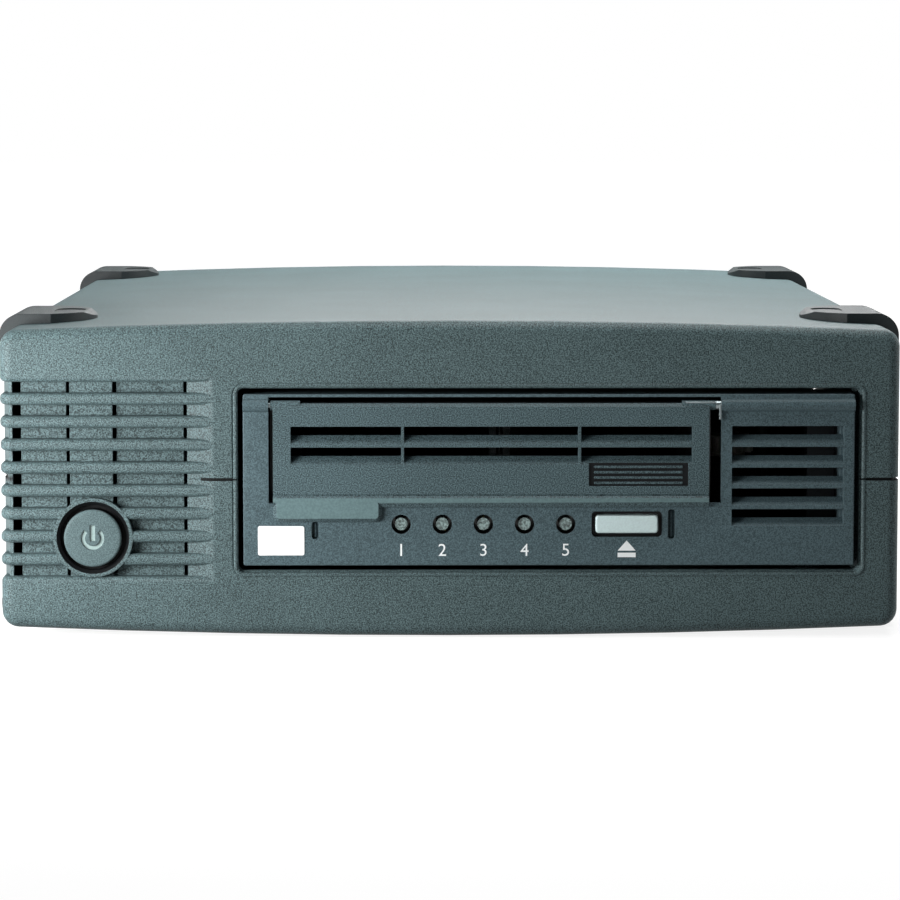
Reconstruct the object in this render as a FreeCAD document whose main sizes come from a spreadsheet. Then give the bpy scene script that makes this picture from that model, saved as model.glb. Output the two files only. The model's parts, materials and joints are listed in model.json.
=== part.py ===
import FreeCAD, Part
import math
import os

import Sketcher
from FreeCAD import Placement, Rotation, Vector

# Desktop data tape drive: a half-height tape mechanism and its power supply in a two-part
# moulded case. X is to the right, Y runs from the front to the back and Z is up. The origin
# lies on the ground under the middle of the case. Lengths are in millimetres.

doc = FreeCAD.newDocument("TapeDrive")
sheet = doc.addObject("Spreadsheet::Sheet", "Sizes")
nodes = []


class Size(float):
    """A length from the sheet that keeps the formula it was worked out with."""

    def __new__(cls, value, text):
        made = super().__new__(cls, value)
        made.text = text
        return made

    def __add__(self, other):
        return Size(float(self) + float(other), f"({self.text} + {formula(other)})")

    def __radd__(self, other):
        return Size(float(other) + float(self), f"({formula(other)} + {self.text})")

    def __sub__(self, other):
        return Size(float(self) - float(other), f"({self.text} - {formula(other)})")

    def __rsub__(self, other):
        return Size(float(other) - float(self), f"({formula(other)} - {self.text})")

    def __mul__(self, other):
        return Size(float(self) * float(other), f"({self.text} * {formula(other)})")

    def __rmul__(self, other):
        return Size(float(other) * float(self), f"({formula(other)} * {self.text})")

    def __truediv__(self, other):
        return Size(float(self) / float(other), f"({self.text} / {formula(other)})")

    def __neg__(self):
        return Size(-float(self), f"(0 - {self.text})")


def formula(value):
    return value.text if isinstance(value, Size) else repr(float(value))


def size(alias, value):
    """Writes one driving dimension into the sheet and hands it back."""
    row = sheet_rows[0] = sheet_rows[0] + 1
    sheet.set(f"A{row}", alias)
    sheet.set(f"B{row}", repr(value))
    sheet.setAlias(f"B{row}", alias)
    return Size(value, f"Sizes.{alias}")


sheet_rows = [0]

# ---------------------------------------------------------------- driving dimensions
# Case: two moulded halves, crowned on top and bottom
case_width = size("case_width", 218.6)
case_depth = size("case_depth", 285.0)
case_bottom = size("case_bottom", 0.4)  # bottom skin above the soles, at its crown
case_rise = size("case_rise", 77.2)  # bottom crown to top crown
crown = size("crown", 2.4)  # how much lower the skin is at the sides
case_wall = size("case_wall", 2.6)
front_wall = size("front_wall", 3.2)
long_round = size("long_round", 4.2)
front_round = size("front_round", 3.0)
groove_height = size("groove_height", 0.7)  # shadow line between the two halves
groove_depth = size("groove_depth", 1.0)
rebate_wall = size("rebate_wall", 1.4)  # thin rim around the rear panel
rebate_depth = size("rebate_depth", 4.0)

# Bay for the mechanism
drive_offset = size("drive_offset", 85.3)  # right side of the case to the middle of the mechanism
bezel_width = size("bezel_width", 148.5)
bezel_bottom = size("bezel_bottom", 18.0)
bezel_height = size("bezel_height", 41.8)
bezel_gap = size("bezel_gap", 1.3)  # between bezel and case, all round
bay_rim = size("bay_rim", 1.4)  # chamfer round the bay's mouth
bay_corner = size("bay_corner", 1.5)

# Air intake louvres at the front left
louvre_rows = size("louvre_rows", 9)
louvre_pitch = size("louvre_pitch", 5.6)
louvre_slot = size("louvre_slot", 2.7)
louvre_round = size("louvre_round", 1.25)  # rounding of the ribs between the slots
louvre_depth = size("louvre_depth", 2.0)
louvre_inner = size("louvre_inner", 45.4)  # left side of the case to the slots' end
louvre_ramp = size("louvre_ramp", 6.6)
louvre_return = size("louvre_return", 9.0)  # length over which a slot runs out along the side
louvre_clear = size("louvre_clear", 1.0)  # how far the cutters start outside the skin
window_lip = size("window_lip", 3.0)  # side of the case to the outer window
window_outer = size("window_outer", 13.9)
window_post = size("window_post", 10.4)
baffle_thick = size("baffle_thick", 1.4)
baffle_slit = size("baffle_slit", 0.9)  # air gap beside each window post

# Feet over the long edges
foot_proud = size("foot_proud", 2.3)
foot_length = size("foot_length", 35.0)
foot_reach = size("foot_reach", 22.9)
foot_front = size("foot_front", 22.0)
foot_rear = size("foot_rear", 239.0)
foot_drop = size("foot_drop", 7.0)
foot_round = size("foot_round", 5.5)
foot_tip = size("foot_tip", 10.0)
foot_slope = size("foot_slope", 2.6)  # width of the slope at a foot's inner end
foot_fall = size("foot_fall", 1.3)  # how far that slope drops
dimple_width = size("dimple_width", 7.4)
dimple_length = size("dimple_length", 13.6)
dimple_deep = size("dimple_deep", 0.35)

# Fasteners
screw_radius = size("screw_radius", 1.5)
screw_head = size("screw_head", 2.9)
head_height = size("head_height", 1.6)
post_radius = size("post_radius", 3.6)
screw_slack = size("screw_slack", 0.2)

# Power button
button_inset = size("button_inset", 22.5)  # left side of the case to the middle of the button
button_z = size("button_z", 24.8)
button_radius = size("button_radius", 7.0)
button_gap = size("button_gap", 1.0)
button_proud = size("button_proud", 1.2)
button_travel = size("button_travel", 1.6)
button_collar = size("button_collar", 0.85)
button_rim = size("button_rim", 1.7)  # ring of the case round the button, across the slots
button_flange = size("button_flange", 1.4)  # overlap of the button's flange behind the case
stem_radius = size("stem_radius", 2.5)
stem_length = size("stem_length", 9.0)
switch_side = size("switch_side", 12.0)
symbol_radius = size("symbol_radius", 2.8)  # arc of the sunk on-off sign
symbol_line = size("symbol_line", 0.95)
symbol_depth = size("symbol_depth", 0.4)

# Bezel of the mechanism
bezel_proud = size("bezel_proud", 0.4)
bezel_wall = size("bezel_wall", 2.4)
bezel_depth = size("bezel_depth", 9.4)
bezel_rim = size("bezel_rim", 3.2)
bezel_corner = size("bezel_corner", 0.6)
latch_slot = size("latch_slot", 1.7)  # width of the two latch recesses under the door
latch_left = size("latch_left", 9.3)
latch_right = size("latch_right", 9.9)
latch_low = size("latch_low", 6.5)
latch_deep = size("latch_deep", 1.3)
mouth_left = size("mouth_left", 6.2)  # left edge of the bezel to the mouth
mouth_width = size("mouth_width", 109.85)
mouth_bottom = size("mouth_bottom", 15.2)
mouth_top = size("mouth_top", 0.7)  # thickness of the rail over the mouth
hinge_bar = size("hinge_bar", 1.6)
lamp_pitch = size("lamp_pitch", 10.0)
lamp_first = size("lamp_first", 38.35)
lamp_height = size("lamp_height", 10.1)
lamp_radius = size("lamp_radius", 1.54)
lamp_hole = size("lamp_hole", 2.35)
lamp_recess = size("lamp_recess", 0.7)
eject_left = size("eject_left", 85.6)
eject_width = size("eject_width", 15.2)
eject_height = size("eject_height", 4.3)
eject_gap = size("eject_gap", 0.95)
eject_slack = size("eject_slack", 0.2)  # round the button where it passes through the bezel
eject_proud = size("eject_proud", 0.8)
eject_travel = size("eject_travel", 0.8)
grille_left = size("grille_left", 118.7)
grille_width = size("grille_width", 27.2)
grille_top = size("grille_top", 34.0)
grille_pitch = size("grille_pitch", 5.07)
grille_slot = size("grille_slot", 4.15)
grille_rows = size("grille_rows", 5)
vent_slope = size("vent_slope", 1.9)

# Cartridge door
door_left = size("door_left", 1.1)  # mouth's left edge to the door
door_width = size("door_width", 105.8)
door_top = size("door_top", 1.5)
door_thick = size("door_thick", 2.6)
door_proud = size("door_proud", 1.0)
hinge_drop = size("hinge_drop", 2.0)  # rail to the hinge axis
ear_radius = size("ear_radius", 1.2)
ear_length = size("ear_length", 6.6)
ear_reach = size("ear_reach", 1.5)  # how far the right ear passes the door's end
pin_radius = size("pin_radius", 0.7)
pin_hold = size("pin_hold", 4.0)
running_gap = size("running_gap", 0.05)
lip_gap = size("lip_gap", 0.15)
lip_thick = size("lip_thick", 1.35)
lip_lap = size("lip_lap", 0.8)
lip_height = size("lip_height", 2.7)
lip_bevel = size("lip_bevel", 1.2)
tab_width = size("tab_width", 26.4)
tab_drop = size("tab_drop", 3.6)
tab_round = size("tab_round", 1.6)
door_slot_left = size("door_slot_left", 4.3)
door_slot_width = size("door_slot_width", 97.4)
door_post = size("door_post", 0.7)
plaque_right = size("plaque_right", 5.1)
plaque_width = size("plaque_width", 24.1)
plaque_height = size("plaque_height", 6.1)
plaque_drop = size("plaque_drop", 9.4)
plaque_depth = size("plaque_depth", 0.5)

# Mechanism chassis and its lid
chassis_inset = size("chassis_inset", 2.5)  # how much narrower the chassis is than the bezel
chassis_length = size("chassis_length", 196.0)
chassis_wall = size("chassis_wall", 2.0)
lid_thick = size("lid_thick", 1.0)
mount_inset = size("mount_inset", 6.3)  # chassis width less the span of the bottom mounting holes
mount_along = size("mount_along", 79.3)
mount_first = size("mount_first", 52.3)

# Rear panel, fan, sockets
panel_thick = size("panel_thick", 1.6)
panel_gap = size("panel_gap", 0.2)
panel_boss = size("panel_boss", 9.0)
fan_x = size("fan_x", 62.0)
fan_side = size("fan_side", 60.0)
fan_deep = size("fan_deep", 20.0)
fan_bore = size("fan_bore", 28.0)
fan_hub = size("fan_hub", 12.0)
fan_tip = size("fan_tip", 25.2)
blade_count = size("blade_count", 7)
fan_corner = size("fan_corner", 4.0)
fan_post_radius = size("fan_post_radius", 2.5)
guard_thick = size("guard_thick", 1.2)
guard_wire = size("guard_wire", 1.3)
inlet_x = size("inlet_x", -80.0)
inlet_width = size("inlet_width", 27.0)
inlet_height = size("inlet_height", 19.6)
inlet_deep = size("inlet_deep", 20.0)
inlet_cavity = size("inlet_cavity", 16.5)
inlet_shell = size("inlet_shell", 1.6)
inlet_ears = size("inlet_ears", 40.0)
inlet_flange = size("inlet_flange", 2.2)
socket_x = size("socket_x", -18.0)
socket_width = size("socket_width", 26.0)
socket_height = size("socket_height", 11.0)
socket_shell = size("socket_shell", 0.9)
board_thick = size("board_thick", 1.6)
board_offset = size("board_offset", 9.0)  # rear panel to the interface board

# Cartridge path and tape path
cartridge_width = size("cartridge_width", 105.4)
cartridge_length = size("cartridge_length", 102.0)
cartridge_height = size("cartridge_height", 21.5)
cartridge_slack = size("cartridge_slack", 0.5)
tray_sheet = size("tray_sheet", 1.0)
tray_travel = size("tray_travel", 12.0)
gear_module = size("gear_module", 1.0)
pinion_teeth = size("pinion_teeth", 12)
rack_teeth = size("rack_teeth", 9)
gear_height = size("gear_height", 4.5)
backlash = size("backlash", 0.16)
rack_addendum = size("rack_addendum", 0.7)  # short, so that twelve pinion teeth need no undercut
reel_radius = size("reel_radius", 42.0)
reel_hub = size("reel_hub", 21.0)
tape_width = size("tape_width", 13.0)
reel_flange = size("reel_flange", 1.6)
spindle_radius = size("spindle_radius", 4.0)
roller_radius = size("roller_radius", 5.6)
roller_flange = size("roller_flange", 7.0)
roller_pin = size("roller_pin", 1.5)
head_travel = size("head_travel", 3.0)

# ---------------------------------------------------------------- places that follow
case_top = case_bottom + case_rise
ground_top = case_top + case_bottom  # upper soles, mirror image of the lower ones
parting = ground_top / 2
side = case_width / 2
drive_center = side - drive_offset
chassis_width = bezel_width - chassis_inset
mount_across = chassis_width - mount_inset
button_x = button_inset - side
front_proud = bezel_proud + lip_gap + lip_thick
rear_proud = inlet_flange + head_height - (rebate_depth - panel_thick)
front = (front_proud - case_depth - rear_proud) / 2
rear = front + case_depth
panel_in = rear - rebate_depth
panel_out = panel_in + panel_thick
bezel_left = drive_center - bezel_width / 2
bezel_right = drive_center + bezel_width / 2
bezel_top = bezel_bottom + bezel_height
bezel_face = front - bezel_proud
bezel_back = bezel_face + bezel_depth
mouth_x = bezel_left + mouth_left
mouth_end = mouth_x + mouth_width
mouth_low = bezel_bottom + mouth_bottom
mouth_high = bezel_top - mouth_top
hinge_z = mouth_high - hinge_drop
door_x = mouth_x + door_left
door_end = door_x + door_width
door_high = mouth_high - door_top
door_face = bezel_face - door_proud
lip_face = bezel_face - lip_gap - lip_thick
lip_low = mouth_low - lip_lap
chassis_left = drive_center - chassis_width / 2
chassis_right = drive_center + chassis_width / 2
chassis_back = bezel_back + chassis_length
chassis_low = bezel_bottom
deck = chassis_low + chassis_wall
lid_low = bezel_top - lid_thick
bay_floor = size("bay_floor", 6.2)  # flat floor of the supply bay


# ---------------------------------------------------------------- modelling helpers
def bind(thing, path, value):
    """Ties a property to the sheet's formula, or to a plain number."""
    thing.setExpression(path, formula(value))


def node(label, thing):
    """Names a finished sub-part; its label is also its file's name."""
    thing.Label = label
    nodes.append(thing)
    return thing


def box(name, x, y, z):
    """A block between three pairs of planes."""
    made = doc.addObject("Part::Box", name)
    for length, (low, high) in zip(("Length", "Width", "Height"), (x, y, z)):
        bind(made, length, high - low)
    for axis, (low, high) in zip("xyz", (x, y, z)):
        bind(made, f"Placement.Base.{axis}", low)
    return made


TURNS = {
    "X": Rotation(Vector(0, 1, 0), 90),
    "Y": Rotation(Vector(1, 0, 0), -90),
    "Z": Rotation(),
}


def rod(name, axis, at, radius, low, high):
    """A cylinder along an axis; at holds its two other coordinates in X, Y, Z order."""
    made = doc.addObject("Part::Cylinder", name)
    made.Placement = Placement(Vector(), TURNS[axis])
    bind(made, "Radius", radius)
    bind(made, "Height", high - low)
    base = list(at)
    base.insert("XYZ".index(axis), low)
    for letter, value in zip("xyz", base):
        bind(made, f"Placement.Base.{letter}", value)
    return made


def fuse(name, *pieces):
    made = doc.addObject("Part::MultiFuse", name)
    made.Shapes = list(pieces)
    made.Refine = True
    return made


def group(name, *pieces):
    """Separate identical pieces that share one node."""
    made = doc.addObject("Part::Compound", name)
    made.Links = list(pieces)
    return made


def cut(name, base, *tools):
    made = doc.addObject("Part::Cut", name)
    made.Base = base
    made.Tool = tools[0] if len(tools) == 1 else fuse(f"{name}_tools", *tools)
    made.Refine = True
    return made


def common(name, first, second):
    made = doc.addObject("Part::Common", name)
    made.Base = first
    made.Tool = second
    return made


def mirrored(name, thing, normal, base=Vector()):
    made = doc.addObject("Part::Mirroring", name)
    made.Source = thing
    made.Normal = normal
    made.Base = base
    return made


def new_body(name):
    body = doc.addObject("PartDesign::Body", name)
    body.AllowCompound = True
    return body


def rounded(x, y, radius):
    """The outline of a rectangle with round corners."""
    (x0, x1), (y0, y1) = x, y
    bulge = radius * (1 - math.sqrt(0.5))
    return [
        (x0 + radius, y0),
        (x1 - radius, y0, (x1 - bulge, y0 + bulge, radius)),
        (x1, y0 + radius),
        (x1, y1 - radius, (x1 - bulge, y1 - bulge, radius)),
        (x1 - radius, y1),
        (x0 + radius, y1, (x0 + bulge, y1 - bulge, radius)),
        (x0, y1 - radius),
        (x0, y0 + radius, (x0 + bulge, y0 + bulge, radius)),
    ]


def rectangle(x, y):
    return [(x[0], y[0]), (x[1], y[0]), (x[1], y[1]), (x[0], y[1])]


def circle(x, y, radius):
    return ("circle", x, y, radius)


class Drawing:
    """Closed outlines on one plane of a body, pinned to the sheet point by point."""

    def __init__(self, body, name, plane, height):
        self.sketch = body.newObject("Sketcher::SketchObject", name)
        features = body.Origin.OriginFeatures
        support = next(f for f in features if f.Role == f"{plane}_Plane")
        self.sketch.AttachmentSupport = [(support, "")]
        self.sketch.MapMode = "FlatFace"
        bind(self.sketch, "AttachmentOffset.Base.z", -height if plane == "XZ" else height)
        self.limits = []
        self.formulas = {}

    def limit(self, value, *words):
        if isinstance(value, Size):
            self.formulas[len(self.limits)] = value.text
        self.limits.append(Sketcher.Constraint(*words, float(value)))

    def pin(self, edge, end, x, y):
        """Holds a point at its distance from the plane's origin."""
        for kind, value in (("DistanceX", x), ("DistanceY", y)):
            if value < 0:
                self.limit(-value, kind, edge, end, -1, 1)
            else:
                self.limit(value, kind, -1, 1, edge, end)

    def end_at(self, edge, point):
        """Which end of an edge lies at a point: an arc may run backwards."""
        for end in (1, 2):
            place = self.sketch.getPoint(edge, end)
            if abs(place.x - point[0]) + abs(place.y - point[1]) < 1e-5:
                return end
        raise ValueError(f"{self.sketch.Label}: edge {edge} misses {point}")

    def add_circle(self, x, y, radius):
        edge = self.sketch.addGeometry(Part.Circle(Vector(x, y, 0), Vector(0, 0, 1), radius))
        self.pin(edge, 3, x, y)
        self.limit(radius, "Radius", edge)

    def add_outline(self, points):
        edges = []
        for point, after in zip(points, points[1:] + points[:1]):
            start = Vector(point[0], point[1], 0)
            stop = Vector(after[0], after[1], 0)
            if len(point) == 3:
                through = Vector(point[2][0], point[2][1], 0)
                edges.append(self.sketch.addGeometry(Part.Arc(start, through, stop)))
            else:
                edges.append(self.sketch.addGeometry(Part.LineSegment(start, stop)))
        for n, (edge, point) in enumerate(zip(edges, points)):
            end = self.end_at(edge, point)
            before = edges[n - 1]
            self.limits.append(
                Sketcher.Constraint("Coincident", before, self.end_at(before, point), edge, end)
            )
            self.pin(edge, end, point[0], point[1])
            if len(point) == 3:
                self.limit(point[2][2], "Radius", edge)

    def finish(self):
        self.sketch.addConstraint(self.limits)
        for n, text in self.formulas.items():
            self.sketch.setExpression(f"Constraints[{n}]", text)
        return self.sketch


def draw(body, name, plane, height, loops):
    drawing = Drawing(body, name, plane, height)
    for loop in loops:
        if loop[0] == "circle":
            drawing.add_circle(*loop[1:])
        else:
            drawing.add_outline(loop)
    return drawing.finish()


def pad(body, name, plane, span, *loops):
    """Adds material between two planes."""
    low, high = span
    made = body.newObject("PartDesign::Pad", name)
    made.Profile = draw(body, f"{name}_outline", plane, low, loops)
    bind(made, "Length", high - low)
    made.Reversed = plane == "XZ"
    body.Tip = made
    doc.recompute()
    return made


def pocket(body, name, plane, span, *loops):
    """Removes material between two planes."""
    low, high = span
    before = body.Shape.Volume
    made = body.newObject("PartDesign::Pocket", name)
    made.Profile = draw(body, f"{name}_outline", plane, low, loops)
    bind(made, "Length", high - low)
    made.Reversed = plane != "XZ"
    body.Tip = made
    doc.recompute()
    if not body.Shape.Volume < before - 1e-6:
        raise ValueError(f"{name} removes nothing")
    return made


def loft(body, name, plane, sections):
    """Adds a solid between outlines at successive heights."""
    sketches = [
        draw(body, f"{name}_{n}", plane, height, [loop])
        for n, (height, loop) in enumerate(sections)
    ]
    made = body.newObject("PartDesign::AdditiveLoft", name)
    made.Profile = sketches[0]
    made.Sections = sketches[1:]
    made.Ruled = True
    body.Tip = made
    doc.recompute()
    return made


def soften(body, name, kind, value, test):
    """Fillets or chamfers the edges that pass the test."""
    last = body.Tip
    picked = [f"Edge{n}" for n, edge in enumerate(last.Shape.Edges, 1) if test(edge.BoundBox)]
    made = body.newObject(f"PartDesign::{kind}", name)
    made.Base = (last, picked)
    bind(made, "Radius" if kind == "Fillet" else "Size", value)
    body.Tip = made
    doc.recompute()
    return made


def turn(body, name, plane, loop, degrees):
    """Adds material by turning an outline about the body's own upright axis."""
    made = body.newObject("PartDesign::Revolution", name)
    made.Profile = draw(body, f"{name}_outline", plane, Size(0.0, "0"), [loop])
    made.ReferenceAxis = (origin_axis(body, "Z"), [""])
    made.Angle = degrees
    made.Reversed = True
    body.Tip = made
    doc.recompute()
    return made


def origin_axis(body, letter):
    return next(f for f in body.Origin.OriginFeatures if f.Role == f"{letter}_Axis")


def in_line(body, name, features, letter, step, count):
    """Repeats features along an axis."""
    made = body.newObject("PartDesign::LinearPattern", name)
    made.Originals = features
    made.Direction = (origin_axis(body, letter), [""])
    bind(made, "Length", step * (count - 1))
    bind(made, "Occurrences", count)
    body.Tip = made
    doc.recompute()
    return made


def in_ring(body, name, features, letter, count):
    """Repeats features round an axis."""
    made = body.newObject("PartDesign::PolarPattern", name)
    made.Originals = features
    made.Axis = (origin_axis(body, letter), [""])
    bind(made, "Occurrences", count)
    body.Tip = made
    doc.recompute()
    return made


def screw(name, axis, at, seat, way, length):
    """A cheese-head screw: its head stands on the seat, on the side that way points to."""
    if way > 0:
        spans = (seat, seat + head_height), (seat - length, seat)
    else:
        spans = (seat - head_height, seat), (seat, seat + length)
    head = rod(f"{name}_head", axis, at, screw_head, *spans[0])
    shank = rod(f"{name}_shank", axis, at, screw_radius, *spans[1])
    return fuse(name, head, shank)


def place_body(body, x, y, z):
    """Moves a body that was drawn about its own origin."""
    for letter, value in zip("xyz", (x, y, z)):
        bind(body, f"Placement.Base.{letter}", value)


# ---------------------------------------------------------------- case
def crowned(inset, corner, way):
    """Half of the case's section, above (way 1) or below (way -1) the parting plane."""
    skin = case_top - inset if way > 0 else case_bottom + inset
    edge = side - inset
    flat = edge - corner
    share = flat * flat / (side * side)
    sag = crown * share
    shoulder = skin - way * sag
    radius = (flat * flat + sag * sag) / (sag * 2)
    bulge = corner * (1 - math.sqrt(0.5))
    points = [(edge, parting)]
    if corner > 0:
        low = shoulder - way * corner
        points += [(edge, low, (edge - bulge, shoulder - way * bulge, corner))]
    points += [(flat, shoulder, (Size(0.0, "0"), skin, radius))]
    if corner > 0:
        points += [(-flat, shoulder, (bulge - edge, shoulder - way * bulge, corner))]
        points += [(-edge, low)]
    else:
        points += [(-flat, shoulder)]
    return points + [(-edge, parting)]


def crowned_slab(name, y, inset, corner):
    """The case's whole section, inset all round, between two planes."""
    body = new_body(name)
    for way, half in ((1, "upper"), (-1, "lower")):
        pad(body, f"{name}_{half}", "XZ", y, crowned(inset, corner, way))
    return body


def make_envelope():
    """The outer form of the closed case."""
    body = crowned_slab("case_envelope", (front, rear), Size(0.0, "0"), 0.0)
    soften(
        body, "envelope_long_edges", "Fillet", long_round,
        lambda b: b.YLength > case_depth - 1 and abs(b.ZMin - parting) > 1,
    )
    soften(
        body, "envelope_front_edges", "Fillet", front_round,
        lambda b: b.YMax < front + 0.01 and not (b.ZLength < 0.01 and abs(b.ZMin - parting) < 1),
    )
    return body


def make_bay_cutter():
    """The mouth of the mechanism's bay, with its chamfered rim."""
    x = (bezel_left - bezel_gap, bezel_right + bezel_gap)
    z = (bezel_bottom - bezel_gap, bezel_top + bezel_gap)
    body = new_body("bay_cutter")
    pad(body, "bay_through", "XZ", (front - 1, front + front_wall + 1), rounded(x, z, bay_corner))
    wide = rounded(
        (x[0] - bay_rim, x[1] + bay_rim), (z[0] - bay_rim, z[1] + bay_rim), bay_corner + bay_rim
    )
    loft(body, "bay_flare", "XZ", [(front, wide), (front + bay_rim, rounded(x, z, bay_corner))])
    return body


def slot_outline(skin, z):
    """A louvre slot's section at a skin: round shoulders, then straight sides down to its floor."""
    half = louvre_slot / 2
    wide = half + louvre_round
    bulge = louvre_round * (1 - math.sqrt(0.5))
    shoulder = skin + louvre_round
    floor = skin + louvre_depth
    return [
        (skin - louvre_clear, z - wide),
        (skin, z - wide, (skin + bulge, z - half - bulge, louvre_round)),
        (shoulder, z - half),
        (floor, z - half),
        (floor, z + half),
        (shoulder, z + half, (skin + bulge, z + half + bulge, louvre_round)),
        (skin, z + wide),
        (skin - louvre_clear, z + wide),
    ]


def make_louvre_cutter():
    """The air intake: round-edged slots that wrap the front left corner and run out at both ends.

    The slots are drawn about the axis of the case's corner, which is the origin of these bodies.
    """
    low_row = parting - louvre_pitch * (louvre_rows - 1) / 2
    skin = -front_round
    inner = louvre_inner - front_round
    channels = new_body("louvre_channels")
    along_front = pad(channels, "louvre_front", "YZ", (Size(0.0, "0"), inner), slot_outline(skin, low_row))
    corner = turn(channels, "louvre_corner", "YZ", slot_outline(skin, low_row), 90)
    z = (low_row - louvre_slot / 2, low_row + louvre_slot / 2)
    outer = window_lip - front_round
    through = (skin + louvre_clear, front_wall + louvre_clear - front_round)
    windows = pad(
        channels, "louvre_windows", "XY", z,
        rectangle((outer, outer + window_outer), through),
        rectangle((outer + window_outer + window_post, inner), through),
    )
    in_line(channels, "louvre_rows_cut", [along_front, corner, windows], "Z", louvre_pitch, louvre_rows)
    ends = new_body("louvre_ends")
    front_end = pad(ends, "louvre_front_end", "YZ", (inner, inner + louvre_ramp), slot_outline(skin, low_row))
    side_end = pad(
        ends, "louvre_side_end", "XZ", (Size(0.0, "0"), Size(0.0, "0") + louvre_return),
        slot_outline(skin, low_row),
    )
    in_line(ends, "louvre_ends_cut", [front_end, side_end], "Z", louvre_pitch, louvre_rows)
    ramps = new_body("louvre_ramps")
    out = skin - louvre_clear
    floor = skin + louvre_depth
    reach = (low_row - louvre_pitch, low_row + louvre_pitch * louvre_rows)
    pad(
        ramps, "louvre_ramp_wedges", "XY", reach,
        [(inner, out), (inner + louvre_ramp, out), (inner + louvre_ramp, skin), (inner, floor)],
        [(out, Size(0.0, "0")), (floor, Size(0.0, "0")), (skin, louvre_return), (out, louvre_return)],
    )
    for body in (channels, ends, ramps):
        place_body(body, front_round - side, front + front_round, Size(0.0, "0"))
    return fuse("louvre_cutter", channels, common("louvre_run_outs", ends, ramps))


def make_groove_cutter():
    """The shadow line where the two halves meet."""
    body = new_body("groove_cutter")
    reach = side + 2
    pad(
        body, "groove_ring", "XY", (parting - groove_height / 2, parting + groove_height / 2),
        rectangle((-reach, reach), (front - 2, rear + 2)),
        rounded(
            (groove_depth - side, side - groove_depth),
            (front + groove_depth, rear - groove_depth),
            front_round - groove_depth,
        ),
    )
    return body


def skin_middle(x):
    """Height inside the bottom skin's wall at a distance from the middle."""
    return case_bottom + crown * (x * x / (side * side)) + case_wall / 2


def case_posts():
    """Where the four case screws stand: beside the bay at the front, and near the rear."""
    return [
        (foot_reach / 4 - side, front + foot_front + foot_length / 2),
        (side - foot_reach / 4 - 1.2, front + front_wall + 9),
        (foot_reach / 4 - side, rear - 34),
        (side - foot_reach / 4 - 1.2, rear - 34),
    ]


def drive_posts():
    """The mechanism's four bottom mounting points."""
    y = bezel_back + mount_first
    return [
        (drive_center + way * mount_across / 2, y + step)
        for step in (0, mount_along)
        for way in (-1, 1)
    ]


def panel_corners():
    """The rear panel's four screws."""
    x = side - case_wall - panel_boss / 2
    z = parting - case_bottom - crown - case_wall - panel_boss / 2
    return [(way * x, parting + up * z) for way in (-1, 1) for up in (-1, 1)]


def post_set(name, places, radius, low, high):
    return [rod(f"{name}_{n}", "Z", at, radius, low(at), high) for n, at in enumerate(places)]


def panel_blocks(up):
    """Corner blocks of one half that take the rear panel's screws."""
    made = []
    for n, (x, z) in enumerate(panel_corners()):
        if (z > parting) != (up > 0):
            continue
        sign = -1 if n < 2 else 1
        skin = crown * 0.85 + case_wall * 0.75
        half_boss = panel_boss / 2
        block_z = (z - half_boss, case_top - skin) if up > 0 else (case_bottom + skin, z + half_boss)
        outer = sign * (side - case_wall * 0.9)
        inner = x - sign * panel_boss / 2
        block_x = (outer, inner) if sign < 0 else (inner, outer)
        block = box(f"panel_block_{n}", block_x, (panel_in - 12, panel_in), block_z)
        made.append(block)
    return made


def panel_bores(name, radius, low, high):
    return [rod(f"{name}_{n}", "Y", at, radius, low, high) for n, at in enumerate(panel_corners())]


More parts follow.
